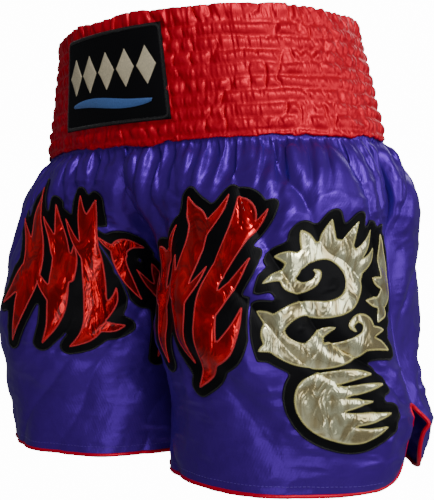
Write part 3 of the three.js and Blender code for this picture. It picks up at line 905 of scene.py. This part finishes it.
SCROLLS = {
    "scroll_body": (0, (
        ((218, 104, 0.3), (223, 107, 2), (221, 114, 3), (213, 117, 4), (205, 113, 5),
         (203, 104, 6), (211, 93, 7), (226, 89, 7.5), (240, 93, 8), (251, 103, 8),
         (254, 116, 7.5), (248, 128, 7), (234, 133, 6), (218, 132, 5.5), (207, 138, 6),
         (201, 148, 7.5), (206, 159, 8.5), (219, 166, 9), (236, 166, 8.5), (252, 162, 7.5),
         (264, 154, 6), (265, 144, 4.5), (257, 140, 3), (251, 145, 2), (255, 150, 0.3)),
        ((284, 166, 0.3), (274, 161, 4), (260, 158, 6)),
        ((282, 150, 0.3), (274, 150, 3), (264, 152, 5)),
        ((187, 114, 0.3), (194, 109, 3.5), (205, 106, 5)),
        ((187, 93, 0.3), (196, 94, 3.5), (208, 99, 5)),
        ((196, 75, 0.3), (204, 82, 4), (214, 93, 6)),
        ((216, 67, 0.3), (219, 77, 4.5), (226, 89, 6.5)),
        ((240, 68, 0.3), (239, 80, 4.5), (240, 93, 6.5)),
        ((259, 74, 0.3), (256, 86, 4), (249, 99, 6.5)),
        ((269, 87, 0.3), (263, 97, 4), (252, 108, 6)),
        ((189, 133, 0.3), (195, 137, 3.5), (203, 144, 6)),
        ((191, 163, 0.3), (198, 160, 3.5), (209, 159, 6)),
        ((240, 146, 0.3), (233, 149, 3), (225, 159, 5)))),
    "scroll_crest": (0, (
        ((274, 76, 0.3), (283, 88, 4), (289, 103, 6.5), (290, 119, 7), (285, 133, 6),
         (280, 139, 3.5), (276, 144, 0.3)),
        ((271, 110, 0.3), (279, 113, 3.5), (290, 115, 5)),
        ((265, 127, 0.3), (275, 129, 3.5), (287, 128, 5)))),
    "scroll_tail": (0, (
        ((262, 182, 0.3), (246, 181, 4), (230, 184, 6), (217, 191, 7.5), (213, 203, 8.5),
         (217, 214, 8), (229, 222, 7), (246, 226, 5.5), (267, 221, 0.3)),
        ((270, 190, 0.3), (255, 191, 3), (241, 193, 4), (225, 195, 6)),
        ((259, 201, 0.3), (246, 202, 3), (223, 204, 7)),
        ((271, 211, 0.3), (257, 213, 3.5), (240, 214, 5), (222, 213, 7)))),
}
GROUND_FILL = {
    "flame_backing_outer": (((60, 120, 9), (150, 120, 9)), ((90, 150, 6), (120, 150, 6))),
    "flame_backing_inner": (((26, 110, 6), (40, 118, 6)),),
    "flame_backing_left": (((84, 80, 5), (140, 84, 9)), ((100, 120, 9), (165, 130, 9))),
    "scroll_backing": (((214, 112, 12), (272, 120, 12)), ((216, 149, 8), (276, 146, 9)),
                       ((236, 192, 10), (252, 205, 10))),
}
BACKINGS = {
    "flame_backing_outer": ("flame_outer_1", "flame_outer_2", "flame_outer_3"),
    "flame_backing_inner": ("flame_inner_1", "flame_inner_2"),
    "flame_backing_left": ("flame_left_1", "flame_left_2", "flame_left_3"),
    "scroll_backing": ("scroll_body", "scroll_crest", "scroll_tail"),
}


def stroke_distance(u, v, strokes):
    """Signed distance to a set of strokes: nearest curve piece, less its half width."""
    best = np.full(u.shape, 1e3)
    for stroke in strokes:
        path = resample(np.array(stroke, float), 8 * len(stroke), 0)
        for (ua, va, ra), (ub, vb, rb) in zip(path[:-1], path[1:]):
            along = np.clip(((u - ua) * (ub - ua) + (v - va) * (vb - va))
                            / ((ub - ua) ** 2 + (vb - va) ** 2), 0, 1)
            gap = np.hypot(u - ua - along * (ub - ua), v - va - along * (vb - va))
            best = np.minimum(best, gap - (ra + along * (rb - ra)))
    return best


def field_at(field, origin, step, u, v):
    """Reads an even grid of values, or of rows, between its points."""
    rows, columns = field.shape[:2]
    x = np.clip((u - origin[0]) / step, 0, columns - 1.001)
    y = np.clip((v - origin[1]) / step, 0, rows - 1.001)
    i, j = y.astype(int), x.astype(int)
    fy, fx = y - i, x - j
    if field.ndim == 3:
        fy, fx = fy[..., None], fx[..., None]
    return ((field[i, j] * (1 - fx) + field[i, j + 1] * fx) * (1 - fy)
            + (field[i + 1, j] * (1 - fx) + field[i + 1, j + 1] * fx) * fy)


class Outline:
    """A flat shape cut from an even grid, with its edge moved onto the contour of a field."""

    def __init__(self, field, origin, step):
        keep = self.kept_cells(field)
        index = np.arange(field.size).reshape(field.shape)
        corners = np.stack([index[:-1, :-1], index[:-1, 1:], index[1:, 1:], index[1:, :-1]], -1)
        used, quads = np.unique(corners[keep], return_inverse=True)
        edges = [corners[keep & ~np.roll(keep, (-down, -across), (0, 1))][:, [n, (n + 1) % 4]]
                 for n, (down, across) in enumerate(((-1, 0), (0, 1), (1, 0), (0, -1)))]
        self.quads = quads.reshape(-1, 4)
        self.edges = np.searchsorted(used, np.concatenate(edges))
        rows, columns = np.divmod(used, field.shape[1])
        self.uv = np.stack([origin[0] + columns * step, origin[1] + rows * step], -1).astype(float)
        self.fit_rim(field, origin, step)

    @staticmethod
    def kept_cells(field):
        """Cells whose mean is below 0, with those that touch only at a corner filled in."""
        keep = (field[:-1, :-1] + field[1:, :-1] + field[:-1, 1:] + field[1:, 1:]) / 4 < 0
        keep[[0, -1]] = keep[:, [0, -1]] = False
        for _ in range(4):
            a, b, c, d = keep[:-1, :-1], keep[:-1, 1:], keep[1:, :-1], keep[1:, 1:]
            touch = (a & d & ~b & ~c) | (b & c & ~a & ~d)
            for part in (a, b, c, d):
                part |= touch
        return keep

    def fit_rim(self, field, origin, step):
        """Moves the edge along the field's slope to where the field is 0."""
        slope_v, slope_u = np.gradient(field, step)
        rim = np.unique(self.edges)
        for _ in range(3):
            u, v = self.uv[rim].T
            value, gu, gv = (field_at(f, origin, step, u, v) for f in (field, slope_u, slope_v))
            move = np.clip(value / (gu * gu + gv * gv + 0.2), -0.7 * step, 0.7 * step)
            self.uv[rim] -= 0.8 * move[:, None] * np.stack([gu, gv], -1)

    def loops(self):
        """Edge vertices in order round each closed loop of more than 12, found by doubling
        the jumps from one vertex to the next."""
        after = np.arange(len(self.uv))
        after[self.edges[:, 0]] = self.edges[:, 1]
        least, jump = np.arange(len(after)), after
        for _ in range(16):
            least = np.minimum(least, least[jump])
            jump = jump[jump]
        root = least == np.arange(len(after))
        steps = np.where(root, 0, 1)
        jump = np.where(root, np.arange(len(after)), after)
        for _ in range(16):
            steps = steps + steps[jump]
            jump = jump[jump]
        rim = np.unique(self.edges)
        order = rim[np.lexsort((-steps[rim], least[rim]))]
        cuts = np.flatnonzero(np.diff(least[order])) + 1
        return [loop for loop in np.split(order, cuts) if len(loop) > 12]


def cloth_at(panel, uv, lift):
    """Points and normals over a settled panel at applique coordinates."""
    cloth, points, normals = body()
    form = cloth.form
    rows, columns = cloth.z.shape
    z = -form.band - uv[..., 1] / ART_DOWN * form.skirt
    s = form.unwarped(uv[..., 0] / ART_ACROSS - 1, z)
    part = (1 + s) / (1 - form.vent_edge(z))
    row = (cloth.z[0, 0] - z) / (cloth.z[0, 0] - cloth.z[-1, 0]) * (rows - 1)
    place = (0.0, 0.0), 1.0, part * (columns - 1), row
    normal = unit(field_at(normals[panel], *place))
    return field_at(points[panel], *place) + np.asarray(lift)[..., None] * normal, normal


def solid_outline(outline, panel, low, high):
    """Closed solid over a panel: top and bottom faces between two lifts, and a rim."""
    top, _ = cloth_at(panel, outline.uv, high)
    bottom, _ = cloth_at(panel, outline.uv, low)
    count = len(top)
    a, b = outline.edges.T
    faces = np.concatenate([outline.quads, outline.quads[:, ::-1] + count,
                            np.stack([b, a, a + count, b + count], 1)])
    if PANEL_TURN[panel] < 0:
        faces = faces[:, ::-1]
    return np.concatenate([top, bottom]), faces


def even_loop(path, spacing):
    """A closed path read at even distances, after smoothing its corners a little. Columns
    past the third aren't measured, and are read along with the rest."""
    for _ in range(3):
        path = (np.roll(path, 1, 0) + 2 * path + np.roll(path, -1, 0)) / 4
    closed = np.concatenate([path, path[:1]])
    gaps = np.diff(closed[:, :3], axis=0)
    run = np.concatenate([[0], np.cumsum(np.linalg.norm(gaps, axis=1))])
    count = max(8, int(run[-1] / spacing))
    place = np.arange(count) * run[-1] / count
    return np.stack([np.interp(place, run, column) for column in closed.T], -1)


def stitch_path(loop, pitch):
    """A closed path with four points to a stitch, the way across it at each point, and each
    point's number in its stitch."""
    path = even_loop(loop, pitch / 4)
    path = path[:len(path) // 4 * 4]
    along = unit(np.roll(path, -2, 0) - np.roll(path, 2, 0))
    return path, np.stack([along[:, 1], -along[:, 0]], -1), np.arange(len(path)) % 4


def zigzag(outline, panel, lift, pitch, swing, inset, radius):
    """A thread that crosses the edge of a shape from side to side, all the way round."""
    parts = []
    for loop in outline.loops():
        path, aside, phase = stitch_path(outline.uv[loop], pitch)
        sway = np.array([1.0, 0.25, -1.0, -0.25])[phase] * swing - inset
        rise = np.array([0.0, 1.0, 0.0, 1.0])[phase] * 0.25 * MM
        spots, normal = cloth_at(panel, path + sway[:, None] * aside, lift + rise)
        parts.append(tube_mesh(spots, normal, radius, 4, True))
    return joined(parts)


def applique_fields(step=0.8):
    """Signed distances of every stroke shape on its panel's even grid."""
    if "fields" not in STATE:
        across = np.arange(4, 306, step)
        down = np.arange(14, 262, step)
        u, v = np.meshgrid(across, down)
        STATE["fields"] = {
            name: (panel, stroke_distance(u, v, strokes))
            for name, (panel, strokes) in (FLAMES | SCROLLS).items()}
        STATE["place"] = (across[0], down[0]), step, u, v
    return STATE["fields"], STATE["place"]


def applique_piece(name, vertices, faces, cloth_name):
    """One applique piece, with its cloth coordinates taken from its own points."""
    uvs = np.stack([vertices[:, 0] + vertices[:, 1], vertices[:, 2]], -1)
    return new_piece(name, vertices, faces, material(cloth_name), uvs)


def make_backings():
    """Black satin grounds that follow their foils at an even margin."""
    fields, (origin, step, u, v) = applique_fields()
    seam = 175 + 0.12 * (v - 60)
    bounds = {
        "flame_backing_outer": np.maximum(np.minimum(56 - u, v - 68), u - 240),
        "flame_backing_inner": np.maximum(12 - u, u - 55),
        "flame_backing_left": u - seam + 0.6,
        "scroll_backing": np.maximum(seam + 0.6 - u, u - 298.5),
    }
    for name, members in BACKINGS.items():
        panel = fields[members[0]][0]
        union = np.minimum.reduce([fields[member][1] for member in members])
        union = np.minimum(union, stroke_distance(u, v, GROUND_FILL[name]) + 7)
        ground = np.maximum(spread(union, 6) - 7.5, bounds[name])
        outline = Outline(ground, origin, step)
        vertices, faces = solid_outline(outline, panel, 0.25 * MM, 0.9 * MM)
        piece = applique_piece("satin_" + name, vertices, faces, "black_satin")
        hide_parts(name)
        declare_cut(outline)
        edge, sides = zigzag(outline, panel, 0.75 * MM, 1.1, 0.7, 0.7, 0.22 * MM)
        new_piece("edge_stitch_" + name, edge, sides, material("black_stitch"))


def declare_cut(outline):
    """Works out a cut shape's flat area from its own faces, with slack for its folds, and its longest
    side; the results are not kept.
    """
    corner = outline.uv[outline.quads]
    first, second = corner[:, 2] - corner[:, 0], corner[:, 3] - corner[:, 1]
    area = 0.5 * np.abs(first[:, 0] * second[:, 1] - first[:, 1] * second[:, 0]).sum()
    area = float(area * CUT_SLACK * MM * MM)
    long_side = float(np.ptp(outline.uv, axis=0).max() * MM)
    area / long_side / 0.6


def make_foils(shapes, cloth_name, stitch_name, pitch, swing, radius):
    """Mirror foil shapes, pressed down at the edge by their own stitches."""
    fields, (origin, step, u, v) = applique_fields()
    for name, (panel, _) in shapes.items():
        field = np.maximum(fields[name][1], u - 296.5)
        outline = Outline(field, origin, step)
        depth = -field_at(field, origin, step, *outline.uv.T)
        pillow = 0.7 * (1 - np.exp(-np.maximum(depth, 0) / 2.5))
        wave = 0.35 * smooth_noise(outline.uv[:, 0] / 9, outline.uv[:, 1] / 14, sizes().seed + 40)
        vertices, faces = solid_outline(outline, panel, 1.0 * MM, (1.35 + pillow + wave * pillow) * MM)
        piece = applique_piece("foil_" + name, vertices, faces, cloth_name)
        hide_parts(name)
        declare_cut(outline)
        edge, sides = zigzag(outline, panel, 1.35 * MM, pitch, swing, swing * 0.6, radius)
        new_piece("stitch_" + name, edge, sides, material(stitch_name))


# ---- trims ---------------------------------------------------------------------------


def edge_path(grids, front, back):
    """Grid values round one leg's open edge: down the front flap's vent, round the hem and
    up the back flap's vent."""
    top = body()[0].vent_rows - 1
    return np.concatenate([grids[front, top:-1, -1], grids[front, -1, :0:-1],
                           grids[back, -1, :-1], grids[back, :top:-1, -1]])


def make_piping():
    """Satin cord that binds each leg's hem and both edges of its vent."""
    k = sizes()
    _, points, normals = body()
    spacing, sides = 2.2 * MM, 12
    for name, front, back in (("left", 0, 1), ("right", 2, 3)):
        normal = unit(edge_path(normals, front, back))
        path = edge_path(points, front, back) - 0.5 * k.cloth * normal
        run = even_loop(np.concatenate([path, normal], 1), spacing)
        vertices, faces = tube_mesh(run[:, :3], unit(run[:, 3:]), k.piping_radius, sides, True)
        if PANEL_SIDE[front] == RIGHT:
            faces = faces[:, ::-1]
        along = np.arange(len(run))[:, None] * spacing
        around = np.arange(sides)[None] * 0.9 * MM
        piece = new_piece(f"cord_{name}_leg", vertices, faces, material("red_cord"),
                          np.stack(np.broadcast_arrays(along, around), -1))
        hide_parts(f"piping_{name}_leg")


def make_topstitch():
    """Lock stitches along each hem: short dashes of thread."""
    form = body()[0].form
    down = ART_DOWN * (1 - HEM_STITCH / form.skirt)
    edge = form.vent_edge(np.full(1, -form.band - down / ART_DOWN * form.skirt))[0]
    first, last, pitch = 2.0, min(270.0, ART_ACROSS * (1 - edge) - 8), 3.0
    starts = first + np.arange(int((last - first) / pitch))[:, None] * pitch
    across = starts + np.linspace(0, 2.0, 4)
    uv = np.stack([across, np.full_like(across, down)], -1)
    lift = np.array([0.02, 0.18, 0.18, 0.02]) * MM + 0 * across
    parts = []
    for panel in range(len(PANELS)):
        spots, normal = cloth_at(panel, uv, lift)
        parts += [tube_mesh(path, up, 0.22 * MM, 5, False) for path, up in zip(spots, normal)]
    vertices, faces = joined(parts)
    new_piece("hem_topstitch", vertices, faces, material("blue_stitch"))


# ---- waistband -----------------------------------------------------------------------


def band_rows():
    """Heights down the waistband, with how far along its own gathered row each lies."""
    k = sizes()
    edges = np.concatenate([[0.0], k.header_height + k.channel_height * np.arange(k.elastic_count + 1),
                            [k.header_height + k.channel_height * k.elastic_count + k.seam_lap]])
    counts = 2 * np.round(np.diff(edges) / 0.0036).astype(int)
    part = [np.linspace(0, 1, max(4, n), endpoint=False) for n in counts]
    z = [-(top + p * (bottom - top)) for top, bottom, p in zip(edges[:-1], edges[1:], part)]
    row = [np.full(len(p), i, float) for i, p in enumerate(part)]
    return (np.append(np.concatenate(z), -edges[-1]), np.append(np.concatenate(part), 1.0),
            np.append(np.concatenate(row), len(counts) - 1.0))


def band_puff(turn, row, part):
    """1 in the middle of each gathered row and 0 on its stitches, a little looser here and
    there. The header stays full up to the fold."""
    k = sizes()
    puff = np.sin(math.pi * part) ** 0.6
    header = np.maximum(puff, 0.75 + 0.25 * part) * np.minimum(1, (1 - part) * 5)
    puff = np.where(row == 0, header, puff)[:, None]
    place = (row + part)[:, None]
    slack = smooth_noise(turn * BAND_GIRTH / 0.040, place * 0.8, k.seed + 17)
    loose = ease((slack + 0.1) / 0.7)
    return puff + (1 - puff) * 0.22 * loose * (place > 0.5) * (place < k.elastic_count + 1)


def band_swell(turn, place):
    """Millimetres that the satin swells out in the middle of a row, and how much of its
    ridges is left. Ridges stand closest at the sides and are calmer beside the patch, where
    creases run along the rows instead."""
    seed = sizes().seed
    arc = turn * BAND_GIRTH
    around = 0.5 - np.abs(turn - 0.5)
    cell = 0.0092 + 0.0050 * np.exp(-((around - 0.12) / 0.07) ** 2)
    lattice = np.cumsum(np.full(turn.shape[1], BAND_GIRTH / turn.shape[1]) / cell[0])[None]
    lattice = lattice * round(lattice[0, -1]) / lattice[0, -1]
    sway = 1.1 * smooth_noise(arc / 0.03, place * 0.55, seed + 8)
    ridges = 2 * np.abs(smooth_noise(lattice + sway, place * 0.62, seed + 10)) ** 0.55 - 1
    ridges = ridges + 0.3 * smooth_noise(2.3 * lattice, place * 1.3, seed + 11)
    ridges = ridges * (0.75 + 0.6 * smooth_noise(arc / 0.025, place * 0.9, seed + 18))
    calm = 1 - 0.30 * np.exp(-((turn - 0.125) / 0.04) ** 2)
    creases = smooth_noise(arc / 0.022, place * 1.6, seed + 14) * (1 - calm)
    lumps = smooth_noise(arc / 0.017 - 0.5 * place, place * 0.45, seed + 19)
    return 2.3 + 3.9 * ridges * calm + 2.4 * creases + 1.2 * lumps, calm


def close_ring(points):
    """Joins the first and last columns of a grid that goes once round."""
    mean = (points[:, :, 0] + points[:, :, -1]) / 2
    points[:, :, 0] = mean
    points[:, :, -1] = mean


def band_cloth():
    """The casing's outer face: satin too long for its stitch rows, ruched between them."""
    k = sizes()
    form = Form(k)
    z, part, row = band_rows()
    place = (row + part)[:, None]
    turn = np.linspace(0, 1, 721)[None, :]
    base = form.waist(turn, z[:, None])[None]
    normals = grid_normals(base, [-1])
    normals[:, :, 0] = normals[:, :, -1] = unit(normals[:, :, 0] + normals[:, :, -1])
    puff = band_puff(turn, row, part)
    swell, calm = band_swell(turn, place)
    points = base + (puff * swell * MM)[None, ..., None] * normals
    close_ring(points)
    gather = 1.02 + k.band_gather * puff * calm
    across = np.linalg.norm(np.diff(base, axis=2), axis=-1) * gather[None, :, 1:]
    down = np.linalg.norm(np.diff(base, axis=1), axis=-1) * 1.12
    high = ((0.15 + 4.6 * puff) * MM)[None, ..., None]
    low = ((-0.2 - 0.1 * puff) * MM)[None, ..., None]
    ruffle = (row == 0) & (part < 0.6)
    low[:, ruffle] = -1.4 * MM
    settle(points, base, normals, across, down, (low, high), close_ring, 5,
           bend=0.04, slide=0.0025, shear=0.1)
    last = ease((place - k.elastic_count - 0.4) / 1.4)
    points[0, ..., 2] += last * 1.3 * MM * smooth_noise(turn * 43, 0.5, k.seed + 15)
    points[0, ..., 2] += 1.2 * MM * smooth_noise(turn * 40, place * 0.5, k.seed + 16)
    close_ring(points)
    return form, turn, points[0]


def band_lining(form, turn):
    """The casing's inner face, from the fold down to the seam, with a ripple on each elastic."""
    k = sizes()
    z = np.linspace(-0.0008, -form.band, 20)
    base = form.waist(turn, z[:, None])
    normals = grid_normals(base[None], [-1])[0]
    stitch_row = ((-z - k.header_height) / k.channel_height)[:, None]
    ripple = np.abs(smooth_noise(turn * 105, stitch_row * 0.6, k.seed + 20)) ** 0.6
    ripple[:, -1] = ripple[:, 0]
    ripple = ripple * np.abs(np.sin(math.pi * stitch_row))
    return base - (2.9 + 1.6 * ripple[..., None]) * MM * normals


def make_waistband():
    """The casing: the ruched outer face folds over the top and comes down inside. Its back
    has every second row, so that the cloth is closed all round."""
    form, turn, outer = band_cloth()
    STATE["band"] = form
    inner = band_lining(form, turn)
    fold = np.linspace(0, math.pi, 6)[1:-1, None, None]
    outer[:3, :, 2] -= np.array([1.6, 0.9, 0.3])[:, None] * MM
    inner[0, :, 2] -= 1.2 * MM
    middle = (outer[:1] + inner[:1]) / 2
    reach = (outer[:1] - inner[:1]) / 2
    crest = middle + reach * np.cos(fold) + np.array([0, 0, 1.6 * MM]) * np.sin(fold)
    path = np.concatenate([outer[::-1], crest, inner])[:, :-1]
    face = unit(np.cross(np.roll(path, -1, 1) - np.roll(path, 1, 1), np.gradient(path, axis=0)))
    back = (path - 0.6 * MM * face)[::2]
    sections = np.concatenate([path, back[::-1]]).transpose(1, 0, 2)
    along = np.concatenate([[0], np.cumsum(np.linalg.norm(np.diff(path[:, 0], axis=0), axis=1))])
    along = np.concatenate([along, along[::2][::-1]])
    uvs = np.stack(np.meshgrid(turn[0, :-1] * BAND_GIRTH, along, indexing="ij"), -1)
    piece = ring_piece("gathered_waistband", sections, material("red_satin"), uvs)
    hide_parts("waistband_casing")


def patch_at(across, drop, lift):
    """Points over the waistband on the patch's own flat measure, with their normals.
    The patch sits a little to the wearer's right, over the second to eighth elastics."""
    form = STATE["band"]
    z = -np.asarray(drop, float) - PATCH_TOP
    girth = 4 * form.cloth_per_unit(np.array(-0.9), np.array(-form.band / 2))
    turn = (np.asarray(across, float) - PATCH_SHIFT) / girth
    turn, z = np.broadcast_arrays(turn, z)
    step = 1e-4
    spot = form.waist(turn, z)
    aside = form.waist(turn + step, z) - form.waist(turn - step, z)
    down = form.waist(turn, z - step) - form.waist(turn, z + step)
    normal = unit(np.cross(down, aside))
    puff = 0.45 * smooth_noise(np.asarray(across) / 0.021 + 9, z / 0.016, sizes().seed + 30)
    return spot + (np.asarray(lift) + puff * MM)[..., None] * normal, normal


def fill_threads(ends, lift, radius, arch):
    """Parallel threads, each an arc from one end to the other: ends is (n, 2, 2)."""
    share_along = np.linspace(0, 1, 7)
    across = ends[:, :1, 0] + (ends[:, 1:, 0] - ends[:, :1, 0]) * share_along
    drop = ends[:, :1, 1] + (ends[:, 1:, 1] - ends[:, :1, 1]) * share_along
    rise = lift + arch * np.sqrt(np.sin(math.pi * share_along)) * np.ones_like(across)
    spots, normal = patch_at(across, drop, rise)
    parts = [tube_mesh(path, up, radius, 5, False) for path, up in zip(spots, normal)]
    return joined(parts)


def make_patch():
    """Woven patch with a turned edge, five embroidered lozenges and a bar."""
    width, height = PATCH
    rows, columns = 40, 60
    across = np.linspace(-0.5, 0.5, columns)[None] * width
    drop = np.linspace(0, 1, rows)[:, None] * height
    inside = np.minimum(np.minimum(0.5 * width - np.abs(across), drop), height - drop) + 0 * across
    lift = (3.0 + 0.9 * np.sqrt(np.clip(inside / 0.004, 0, 1))) * MM
    spots, normal = patch_at(across, drop, lift)
    uvs = np.stack(np.broadcast_arrays(across, drop), -1)
    piece = sheet_piece("woven_patch", spots, normal, 0.9 * MM, material("label_weave"), -1, uvs)
    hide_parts("label_patch")
    inset = 1.6 * MM
    corner = np.array([(-0.5, 0), (0.5, 0), (0.5, 1), (-0.5, 1)]) * np.array(PATCH)
    corner = corner * (1 - 2 * inset / np.array(PATCH)) + np.array([0, inset])
    outline = np.concatenate([a + (b - a) * np.linspace(0, 1, 40, endpoint=False)[:, None]
                              for a, b in zip(corner, np.roll(corner, -1, 0))])
    path, aside, phase = stitch_path(outline, 1.0 * MM)
    path = path + np.array([1.0, 0.0, -1.0, 0.0])[phase, None] * 1.3 * MM * aside
    spots, normal = patch_at(path[:, 0], path[:, 1], np.full(len(path), 3.95 * MM))
    edge, sides = tube_mesh(spots, normal, 0.22 * MM, 4, True)
    new_piece("patch_edge_stitch", edge, sides, material("black_stitch"))


def make_embroidery():
    """Lozenges of upright threads and a waved bar of slanted ones."""
    width, height = PATCH
    pitch = 0.42 * MM
    parts = []
    for number in range(5):
        middle = (number - 2) * 0.18 * width
        half = 0.078 * width
        x = np.arange(-half + pitch, half, pitch)
        reach = 0.2 * height * (1 - np.abs(x) / half)
        top = np.stack([middle + x, 0.42 * height - reach], -1)
        foot = np.stack([middle + x, 0.42 * height + reach], -1)
        parts.append(fill_threads(np.stack([top, foot], 1), 4.1 * MM, 0.27 * MM, 0.5 * MM))
    vertices, faces = joined(parts)
    piece = new_piece("embroidered_lozenges", vertices, faces, material("cream_thread"))
    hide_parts("patch_lozenges")
    x = np.arange(-0.38, 0.38, pitch / width) * width
    wave = 0.035 * height * np.sin(x / width * 2 * math.pi)
    thick = 0.045 * height * np.sqrt(np.clip(1 - (x / (0.385 * width)) ** 2, 0, 1)) + 0.4 * MM
    top = np.stack([x + thick * 0.5, 0.76 * height + wave - thick], -1)
    foot = np.stack([x - thick * 0.5, 0.76 * height + wave + thick], -1)
    vertices, faces = fill_threads(np.stack([top, foot], 1), 4.1 * MM, 0.27 * MM, 0.5 * MM)
    piece = new_piece("embroidered_bar", vertices, faces, material("blue_thread"))
    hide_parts("patch_bar")


def dress_elastics():
    """The hidden elastics keep their solids and get a braided finish."""
    for number in range(sizes().elastic_count):
        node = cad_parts[f"elastic_band_{number + 1}"]
        node.data.materials.clear()
        node.data.materials.append(material("woven_elastic"))


# ---- operators -----------------------------------------------------------------------


class SHORTS_OT_stage(bpy.types.Operator):
    """Camera, lights, background and floor"""
    bl_idname = "shorts.stage"
    bl_label = "Stage"

    def execute(self, context):
        make_stage()
        return {"FINISHED"}


def make_stage():
    """The whole stage round the shorts."""
    make_camera()
    make_world()
    make_lights()
    make_floor()


def make_camera():
    """A camera at the wearer's left front, at hip height."""
    scene = bpy.context.scene
    data = bpy.data.cameras.new("camera")
    data.sensor_width = 36.0
    data.lens = 55.2
    camera = bpy.data.objects.new("camera", data)
    camera.location = (0.4303, -0.5736, -0.2026)
    camera.rotation_euler = (math.radians(90.61), math.radians(-0.56), math.radians(35.93))
    scene.collection.objects.link(camera)
    scene.camera = camera


def make_world():
    """A dim, cool surround that the camera itself sees as plain white."""
    world = bpy.data.worlds.new("studio")
    bpy.context.scene.world = world
    world.use_nodes = True
    world.node_tree.nodes.clear()
    nodes = Nodes(world.node_tree)
    soft = nodes.node("Background", Color=(0.92, 0.94, 1.0), Strength=0.14)
    white = nodes.node("Background", Strength=18.0)
    seen = nodes.node("LightPath", output="Is Camera Ray")
    shown = nodes.node("MixShader", numbered={0: seen, 1: soft, 2: white})
    nodes.node("OutputWorld", Surface=shown)


def make_lights():
    """Soft square lamps, all turned to the middle of the shorts."""
    middle = np.array([0.0, 0.0, -0.19])
    for name, place, size, power in (
            ("key", (1.45, -0.95, 1.05), 0.7, 19.0),
            ("front", (1.40, -1.30, 0.20), 1.2, 6.5),
            ("side", (1.90, 0.40, 0.15), 1.1, 11.0),
            ("low", (0.95, -1.30, -0.75), 0.5, 1.8),
            ("fill", (-1.1, -1.5, 0.6), 1.0, 0.5),
            ("rim", (0.2, 1.4, 0.9), 0.9, 6.0)):
        lamp = bpy.data.lights.new(name, "AREA")
        lamp.shape = "SQUARE"
        lamp.size = size
        lamp.energy = power
        light = bpy.data.objects.new(name, lamp)
        light.location = place
        away = np.array(place) - middle
        yaw = math.atan2(away[0], -away[1])
        tip = math.acos(away[2] / np.linalg.norm(away))
        light.rotation_euler = (tip, 0.0, yaw)
        bpy.context.scene.collection.objects.link(light)


def make_floor(radius=2.6, drop=2.0, sides=96):
    """A plain pale disc well below the shorts."""
    angle = np.arange(sides) * 2 * math.pi / sides
    disc = np.stack([radius * np.cos(angle), radius * np.sin(angle), np.full(sides, -drop)], -1)
    mesh = bpy.data.meshes.new("floor")
    mesh.from_pydata(disc, [], [tuple(range(sides))])
    mesh.materials.append(Finish("pale_floor", Roughness=0.9, Base_Color=(0.9, 0.9, 0.9)).material)
    floor = bpy.data.objects.new("floor", mesh)
    bpy.context.scene.collection.objects.link(floor)


class SHORTS_OT_panels(bpy.types.Operator):
    """Four satin body panels that settle into folds"""
    bl_idname = "shorts.panels"
    bl_label = "Body panels"

    def execute(self, context):
        make_panels()
        return {"FINISHED"}


class SHORTS_OT_waistband(bpy.types.Operator):
    """Ruched waistband casing and its elastics"""
    bl_idname = "shorts.waistband"
    bl_label = "Waistband"

    def execute(self, context):
        make_waistband()
        dress_elastics()
        return {"FINISHED"}


class SHORTS_OT_patch(bpy.types.Operator):
    """Woven front patch and its embroidery"""
    bl_idname = "shorts.patch"
    bl_label = "Patch"

    def execute(self, context):
        make_patch()
        make_embroidery()
        return {"FINISHED"}


class SHORTS_OT_backings(bpy.types.Operator):
    """Black satin grounds of the applique work"""
    bl_idname = "shorts.backings"
    bl_label = "Applique grounds"

    def execute(self, context):
        make_backings()
        return {"FINISHED"}


class SHORTS_OT_flames(bpy.types.Operator):
    """Red foil flames with satin stitched edges"""
    bl_idname = "shorts.flames"
    bl_label = "Flames"

    def execute(self, context):
        make_foils(FLAMES, "red_foil", "red_stitch", 0.9, 0.75, 0.3 * MM)
        return {"FINISHED"}


class SHORTS_OT_scrolls(bpy.types.Operator):
    """Gold foil scrolls with zigzag edges"""
    bl_idname = "shorts.scrolls"
    bl_label = "Scrolls"

    def execute(self, context):
        make_foils(SCROLLS, "gold_foil", "gold_stitch", 1.3, 0.9, 0.24 * MM)
        return {"FINISHED"}


class SHORTS_OT_piping(bpy.types.Operator):
    """Cord bindings of the hems and vents"""
    bl_idname = "shorts.piping"
    bl_label = "Piping"

    def execute(self, context):
        make_piping()
        make_topstitch()
        return {"FINISHED"}


OPERATORS = (SHORTS_OT_stage, SHORTS_OT_panels, SHORTS_OT_waistband, SHORTS_OT_patch,
             SHORTS_OT_backings, SHORTS_OT_flames, SHORTS_OT_scrolls, SHORTS_OT_piping)


class SHORTS_PT_panel(bpy.types.Panel):
    """Sidebar panel that lists the pieces and their sizes"""
    bl_idname = "SHORTS_PT_panel"
    bl_label = "Boxing Shorts"
    bl_space_type = "VIEW_3D"
    bl_region_type = "UI"
    bl_category = "Boxing Shorts"

    def draw(self, context):
        layout = self.layout
        for operator in OPERATORS:
            layout.operator(operator.bl_idname)
        for group in (context.scene.shorts_sizes, context.scene.shorts_colours):
            box = layout.box()
            for name in group.__annotations__:
                box.prop(group, name)


CLASSES = (ShortsSizes, ShortsColours, *OPERATORS, SHORTS_PT_panel)


def register():
    """Registers the classes and their scene properties."""
    for item in CLASSES:
        bpy.utils.register_class(item)
    bpy.types.Scene.shorts_sizes = bpy.props.PointerProperty(type=ShortsSizes)
    bpy.types.Scene.shorts_colours = bpy.props.PointerProperty(type=ShortsColours)


def unregister():
    """Removes the scene properties and the classes."""
    del bpy.types.Scene.shorts_colours
    del bpy.types.Scene.shorts_sizes
    for item in reversed(CLASSES):
        bpy.utils.unregister_class(item)


def main():
    """Builds every piece in order."""
    register()
    bpy.ops.shorts.stage()
    bpy.ops.shorts.panels()
    bpy.ops.shorts.waistband()
    bpy.ops.shorts.patch()
    bpy.ops.shorts.backings()
    bpy.ops.shorts.flames()
    bpy.ops.shorts.scrolls()
    bpy.ops.shorts.piping()


if __name__ == "__main__":
    main()
